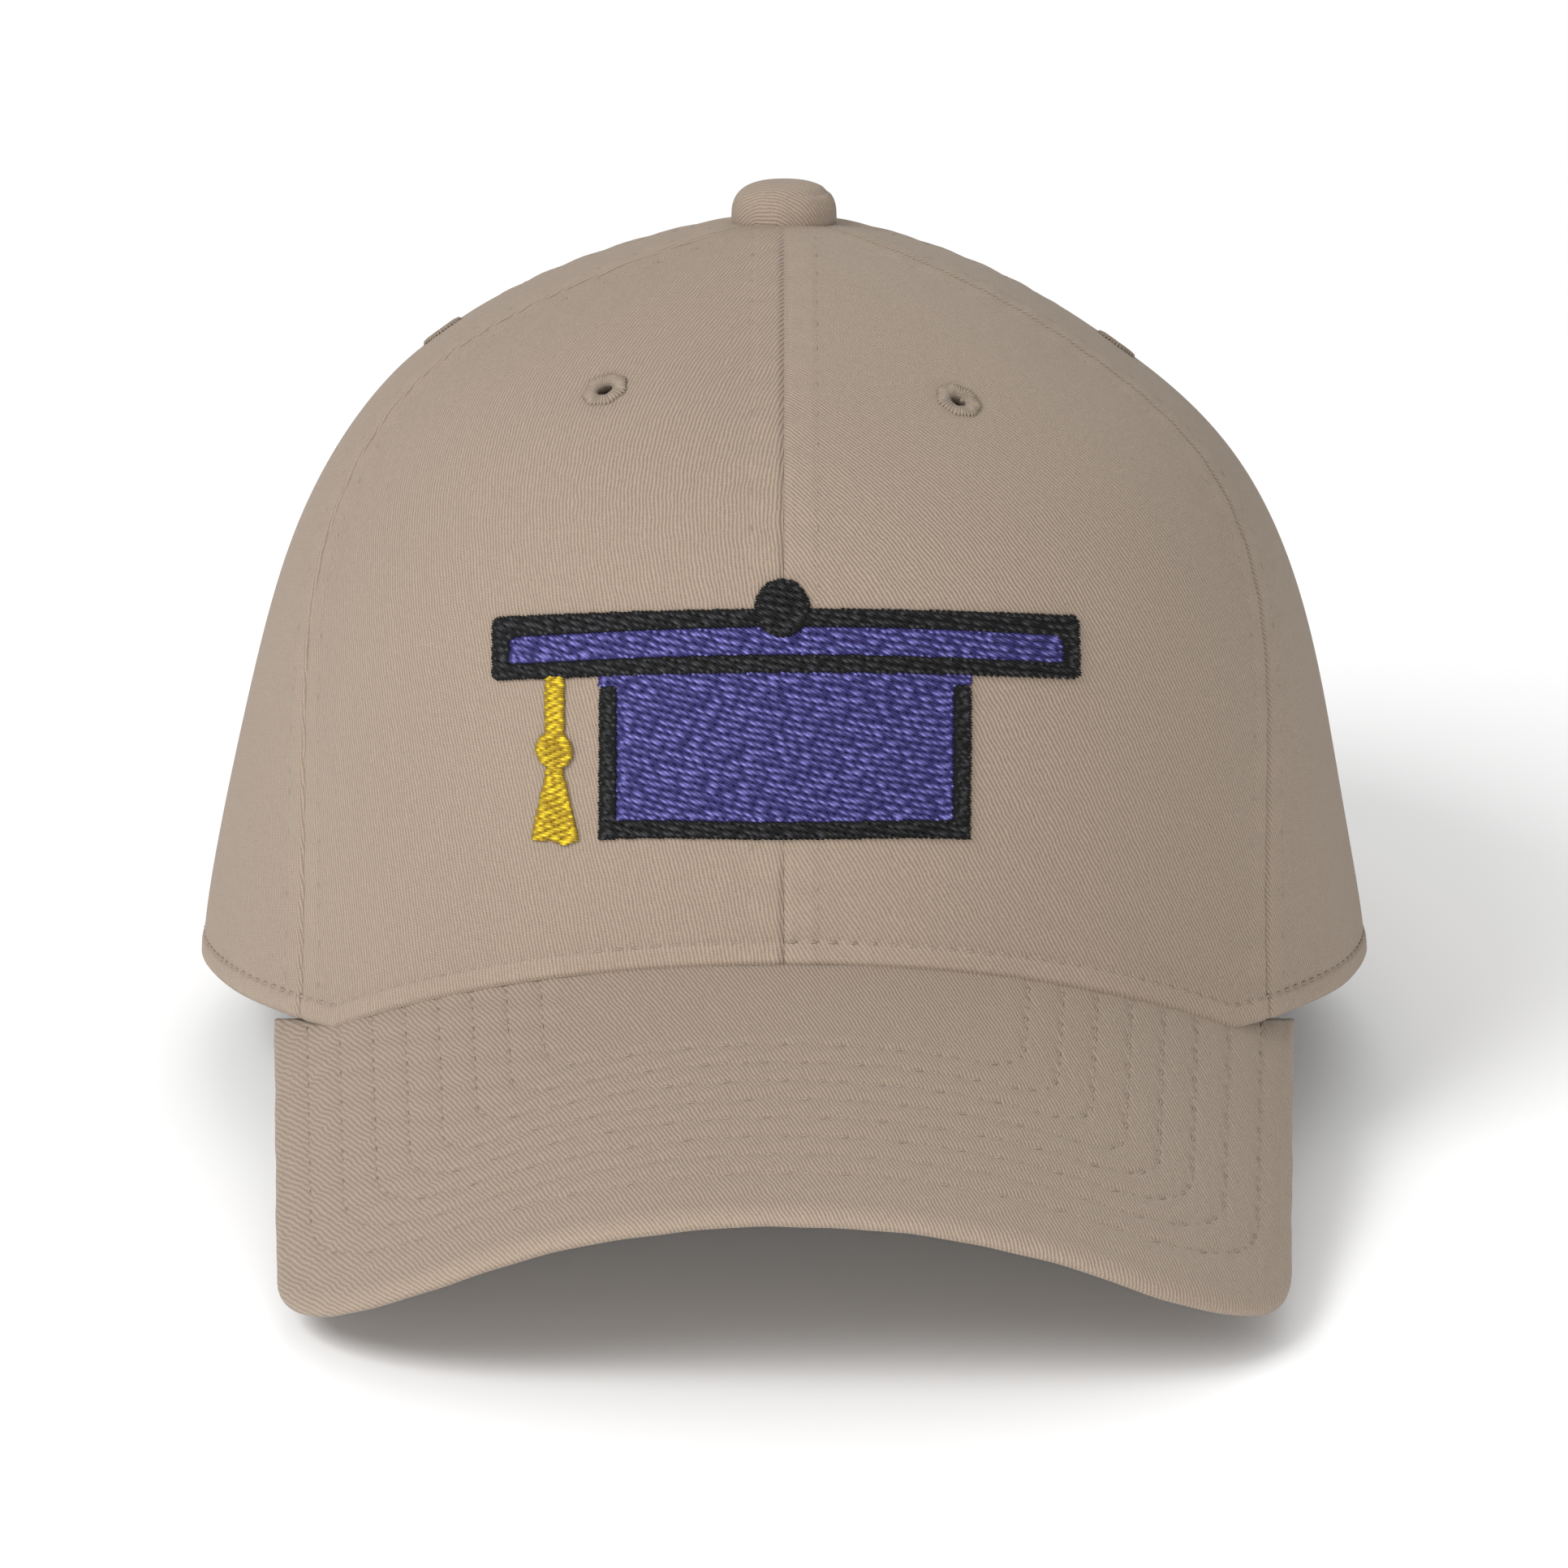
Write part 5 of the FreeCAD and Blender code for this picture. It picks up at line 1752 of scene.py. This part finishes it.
# ----------------------------------------------------------------------------------
# The embroidered picture
# ----------------------------------------------------------------------------------
@dataclass
class Embroidery:
    """A plain mortarboard, laid in short parallel stitches on the front panels."""

    crown: Crown
    room: Workroom
    slant: float = math.radians(-27.0)
    pitch: float = 0.37
    length: float = 4.1
    thread_share: float = 1.35
    tassel_pitch: float = 0.36
    tassel_length: float = 2.3
    tassel_arch: float = 0.3
    half_height: float = 0.20
    board_half: float = 46.0
    corner: float = 0.9
    board_top: float = 71.3
    board_bottom: float = 61.9
    board_drop: float = 3.4
    line_width: float = 2.6
    skull_half: float = 29.0
    skull_bottom: float = 36.4
    skull_side_top: float = 59.0
    dot_radius: float = 4.2
    tassel_x: float = -36.25
    cord_half: float = 1.45
    knot_height: float = 48.6
    knot_radius: float = 2.85
    skirt_bottom: float = 34.4

    def board_line(self, middle: float, half: float, drop: float, power: float) -> Array:
        """Edge of the board from right to left, lower at its ends."""
        x = np.linspace(half, -half, 41)
        return np.stack([x, middle - drop * np.abs(x / half) ** power], -1)

    def board(self, inset: float) -> Array:
        """Outline of the board, `inset` mm inside its outer edge.

        Args:
            inset: Distance inside the outer edge in mm.

        Returns:
            The closed outline, across and up.
        """
        half = self.board_half - inset
        top = self.board_line(self.board_top - inset, half - self.corner, self.board_drop, 2.0)
        bottom = self.board_line(self.board_bottom + inset, half - 0.5, self.board_drop, 2.0)
        shoulder = top[0, 1] - self.corner
        foot = bottom[0, 1] + 0.4
        return np.concatenate([top, [[-half, shoulder], [-half - 0.2, foot]], bottom[::-1],
                               [[half + 0.2, foot], [half, shoulder]]])

    def skull(self) -> tuple[Array, Array]:
        """Outlines of the outline strip and the filling of the cap under the board.

        Returns:
            The strip and the filling, each a closed outline.
        """
        half, line = self.skull_half, self.line_width
        x = np.linspace(-half, half, 31)
        bottom = np.stack([x, self.skull_bottom - 1.0 * np.abs(x / half) ** 4], -1)
        inner_x = np.linspace(half - line, line - half, 31)
        upper = np.stack([inner_x, self.skull_bottom + line - 0.8 * (inner_x / half) ** 4], -1)
        top = self.skull_side_top
        strip = np.concatenate([bottom, [[half, top - 0.7], [half - 0.8, top],
                                         [half - line, top]],
                                upper, [[line - half, top], [0.8 - half, top],
                                        [-half, top - 0.7]]])
        wide = np.linspace(half + 0.2, -half - 0.2, 31)
        roof = np.stack([wide, self.board_bottom + 0.25 - self.board_drop
                         * (wide / self.board_half) ** 2], -1)
        filling = np.concatenate([upper[::-1], [[half - line, top], [half + 0.2, top]],
                                  roof, [[-half - 0.2, top], [line - half, top]]])
        return strip, filling

    def disc(self, x: float, z: float, radius: float) -> Array:
        """Round outline."""
        turn = np.linspace(0.0, 2.0 * math.pi, 48, endpoint=False)
        return np.stack([x + radius * np.cos(turn), z + radius * np.sin(turn)], -1)

    def fill(self, outlines: Sequence[Array], slant: float, pitch: float, length: float,
             lift: float, arch: float = 0.22, seed: int = 1) -> Surface:
        """Parallel stitches over the area between outlines.

        Args:
            outlines: Closed outlines; a second one inside the first is a hole.
            slant: Direction of the stitches, from level, in radians.
            pitch: Distance from one line of stitches to the next.
            length: Usual length of a stitch.
            lift: Height of the stitches' ends over the cloth.
            arch: How much higher their middles are.
            seed: Start of the random unevenness.

        Returns:
            All the stitches as one surface.
        """
        random = np.random.default_rng(seed)
        ahead = np.array([math.cos(slant), math.sin(slant)])
        over = np.array([-ahead[1], ahead[0]])
        edges = np.concatenate([np.stack([line, np.roll(line, -1, 0)], 1)
                                for line in outlines])
        a, b = edges[:, 0] @ over, edges[:, 1] @ over
        along_a, along_b = edges[:, 0] @ ahead, edges[:, 1] @ ahead
        starts, ends, offsets = [], [], []
        rows = np.arange(min(a.min(), b.min()) + 0.5 * pitch, max(a.max(), b.max()), pitch)
        for number, row in enumerate(rows):
            hit = (a > row) != (b > row)
            if not hit.any():
                continue
            share = (row - a[hit]) / (b[hit] - a[hit])
            marks = np.sort(along_a[hit] + share * (along_b[hit] - along_a[hit]))
            for low, high in zip(marks[::2], marks[1::2]):
                shift = (number % 3) / 3.0 * length
                first = math.ceil((low - shift) / length)
                cuts = shift + length * np.arange(first, first + 60)
                cuts = cuts[(cuts > low + 0.7) & (cuts < high - 0.7)]
                cuts = cuts + random.uniform(-0.25, 0.25, len(cuts))
                points = np.concatenate([[low - random.uniform(0.0, 0.2)], cuts,
                                         [high + random.uniform(0.0, 0.2)]])
                starts.extend(points[:-1])
                ends.extend(points[1:])
                offsets.extend([row] * (len(points) - 1))
        start, end, offset = np.array(starts), np.array(ends), np.array(offsets)
        share = np.linspace(0.0, 1.0, 7)[None, :]
        reach = start[:, None] - 0.12 + (end - start + 0.24)[:, None] * share
        flat = reach[..., None] * ahead + offset[:, None, None] * over
        rise = np.sin(math.pi * share) ** 0.6
        rise = rise * (0.8 + 0.2 * random.uniform(-1.0, 1.0, (len(start), 1)))
        height = lift + arch * rise
        paths, normals = self.crown.front(flat[..., 0], flat[..., 1], height)
        numbers = random.uniform(0.0, 90.0, len(start))
        half = 0.5 * pitch * self.thread_share
        return Surface.stitches(paths, normals, half, self.half_height, numbers)

    def build(self) -> None:
        """Embroider every field and lay the backing behind them."""
        outer, inner = self.board(0.0), self.board(self.line_width)
        strip, filling = self.skull()
        pitch, length, slant = self.pitch, self.length, self.slant
        dot = self.disc(-0.3, self.board_top + 0.1, self.dot_radius)
        fields = (("board_fill", [inner], Finish.INDIGO, 0.30, 2),
                  ("board_outline", [outer, inner], Finish.BLACK, 0.46, 3),
                  ("button_dot", [dot], Finish.BLACK, 0.62, 4),
                  ("skull_fill", [filling], Finish.INDIGO, 0.26, 5),
                  ("skull_outline", [strip], Finish.BLACK, 0.42, 6))
        for name, outlines, finish, lift, seed in fields:
            surface = self.fill(outlines, slant, pitch, length, lift, seed=seed)
            self.room.piece(f"stitched_{name}", surface, finish, f"embroidery_{name}",
                            tidy=True)
        x, half, knot = self.tassel_x, self.cord_half, self.knot_height
        roof = self.board_bottom - self.board_drop * (x / self.board_half) ** 2
        cord = np.array([[x - half, knot + 2.0], [x + half, knot + 2.0],
                         [x + half, roof], [x - half, roof + 0.1]])
        low = self.skirt_bottom
        skirt = np.array([[x - 1.1, knot - 2.4], [x + 1.1, knot - 2.4], [x + 3.9, low + 0.6],
                          [x + 1.6, low - 0.3], [x - 0.6, low + 0.3], [x - 3.5, low]])
        gold = (("tassel_cord", cord, 0.0, 0.34),
                ("tassel_knot", self.disc(x, knot, self.knot_radius), 0.0, 0.55),
                ("tassel_skirt", skirt, 0.0, 0.34))
        for name, outline, turn, lift in gold:
            surface = self.fill([outline], turn, self.tassel_pitch, self.tassel_length, lift,
                                self.tassel_arch, seed=len(name))
            self.room.piece(f"stitched_{name}", surface, Finish.GOLD, f"embroidery_{name}",
                            tidy=True)
        self.backing()

    def backing(self) -> None:
        """Tear-away backing inside the crown, in two halves beside the middle seam."""
        halves = []
        for side in (-1.0, 1.0):
            x = side * np.linspace(0.4 if side > 0 else 50.0, 50.0 if side > 0 else 0.4,
                                   60)[None, :]
            z = np.linspace(33.5, 75.5, 60)[:, None]
            wave = 0.7 * np.sin(x / 3.7) * (z > 75.0)
            z = z + wave
            x = x * np.ones_like(z)
            outer, _ = self.crown.front(x, z, -1.72)
            inner, _ = self.crown.front(x, z, -2.0 + 0.06 * np.sin(x) * np.sin(z))
            halves.append(Surface.closed(inner, outer, np.stack([x, z], -1)))
        self.room.piece("felt_embroidery_backing", Surface.joined(halves), Finish.BACKING,
                        "embroidery_backing", tidy=True)


# ----------------------------------------------------------------------------------
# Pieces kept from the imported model, and the studio
# ----------------------------------------------------------------------------------
def dress_kept_nodes() -> None:
    """Give the hard parts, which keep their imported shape, their finishes."""
    plan = {"button_shell": Finish.STEEL, "button_shank": Finish.STEEL,
            "button_washer": Finish.WASHER}
    for node, finish in plan.items():
        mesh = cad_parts[node].data
        if not mesh.materials:
            mesh.materials.append(finish.material())
        for index in range(len(mesh.materials)):
            mesh.materials[index] = finish.material()
        LOG.info("%s: %s", node, finish.material().name)


Lamp = tuple[str, tuple[float, float, float], float, float]


@dataclass
class Studio:
    """A white sweep, soft light from the upper left and the camera."""

    stand: Stand
    elevation: float = math.radians(10.0)
    distance: float = 2000.0
    aim_height: float = 26.9
    lens: float = 277.9
    sensor: float = 36.0
    clip_end: float = 20.0
    floor_half: float = 6.0
    floor_white: float = 0.93
    sky_strength: float = 0.62
    lights: tuple[Lamp, ...] = (("key", (-1.1, -1.0, 1.3), 0.9, 28.0),
                                ("fill", (0.9, -1.6, 0.4), 1.6, 5.0),
                                ("rim", (0.2, 1.3, 1.3), 1.2, 6.0),
                                ("low", (0.0, -1.5, 0.12), 0.9, 14.0))

    def build(self) -> None:
        """Set up floor, lights, world and camera."""
        self.floor()
        self.world()
        for name, place, size, power in self.lights:
            self.light(name, place, size, power)
        self.camera()
        bpy.context.scene.view_settings.view_transform = "Standard"

    def floor(self) -> None:
        """The pale floor."""
        mesh = bpy.data.meshes.new("floor")
        half = self.floor_half
        mesh.from_pydata([(-half, -half, 0.0), (half, -half, 0.0), (half, half, 0.0),
                          (-half, half, 0.0)], [], [(0, 1, 2, 3)])
        thing = bpy.data.objects.new("floor", mesh)
        bpy.context.collection.objects.link(thing)
        g = Graph("floor_paper")
        g.shader.inputs["Base Color"].default_value = (
            self.floor_white, self.floor_white, self.floor_white, 1.0)
        g.shader.inputs["Roughness"].default_value = 0.9
        g.shader.inputs["Specular IOR Level"].default_value = 0.1
        mesh.materials.append(g.material)

    def world(self) -> None:
        """Plain white surroundings."""
        world = bpy.data.worlds.new("studio")
        world.use_nodes = True
        sky = world.node_tree.nodes["Background"]
        sky.inputs[0].default_value = (1.0, 1.0, 1.0, 1.0)
        sky.inputs[1].default_value = self.sky_strength
        bpy.context.scene.world = world

    def light(self, name: str, place: tuple[float, float, float], size: float,
              power: float) -> None:
        """One square soft light aimed at the cap.

        Args:
            name: The light's name.
            place: Where it stands, in metres.
            size: Length of its side in metres.
            power: Its power in watts.
        """
        data = bpy.data.lights.new(name, "AREA")
        data.size = size
        data.energy = power
        thing = bpy.data.objects.new(name, data)
        thing.location = place
        aim = Vector((0.0, 0.0, 0.07)) - Vector(place)
        thing.rotation_euler = aim.to_track_quat("-Z", "Y").to_euler()
        bpy.context.collection.objects.link(thing)

    def camera(self) -> None:
        """The camera, placed in the hem frame and carried along by the stand."""
        cos, sin = math.cos(self.elevation), math.sin(self.elevation)
        ahead = np.array([0.0, cos, -sin])
        above = np.array([0.0, sin, cos])
        place = self.stand.world(above * self.aim_height - ahead * self.distance)
        turn = math.degrees(self.stand.tilt)
        ahead = Vector(self.stand.turn(ahead, turn))
        above = Vector(self.stand.turn(above, turn))
        data = bpy.data.cameras.new("camera")
        data.lens = self.lens
        data.sensor_width = self.sensor
        data.clip_end = self.clip_end
        thing = bpy.data.objects.new("camera", data)
        right = ahead.cross(above)
        facing = Matrix((right, above, -ahead)).transposed()
        thing.matrix_world = Matrix.Translation(Vector(place)) @ facing.to_4x4()
        bpy.context.collection.objects.link(thing)
        bpy.context.scene.camera = thing


def main() -> None:
    """Build the cap and the studio, piece by piece."""
    logging.basicConfig(level=logging.INFO, format="%(message)s")
    crown, visor = Crown(), VisorShape()
    stand = Stand.from_frame(crown, LEAN_DEGREES, SHANK_DEPTH)
    room = Workroom(stand)
    names = (("front", 30.0), ("side", 99.0), ("back", 150.0))
    holes = [Hole(f"{name}_eyelet_{side_name}", side * degrees, EYELET_LEVEL)
             for name, degrees in names for side, side_name in SIDES]
    edge = Edge(crown, visor)
    cloth = CrownCloth(crown, edge, room, holes)
    cloth.build()
    CrownSewing(crown, cloth, room).build()
    Eyelets(crown, room, holes).build()
    Button(crown, room).build()
    VisorCloth(crown, visor, room).build()
    Lining(crown, edge, cloth, room).build()
    Embroidery(crown, room).build()
    dress_kept_nodes()
    Studio(stand).build()


if __name__ == "__main__":
    main()
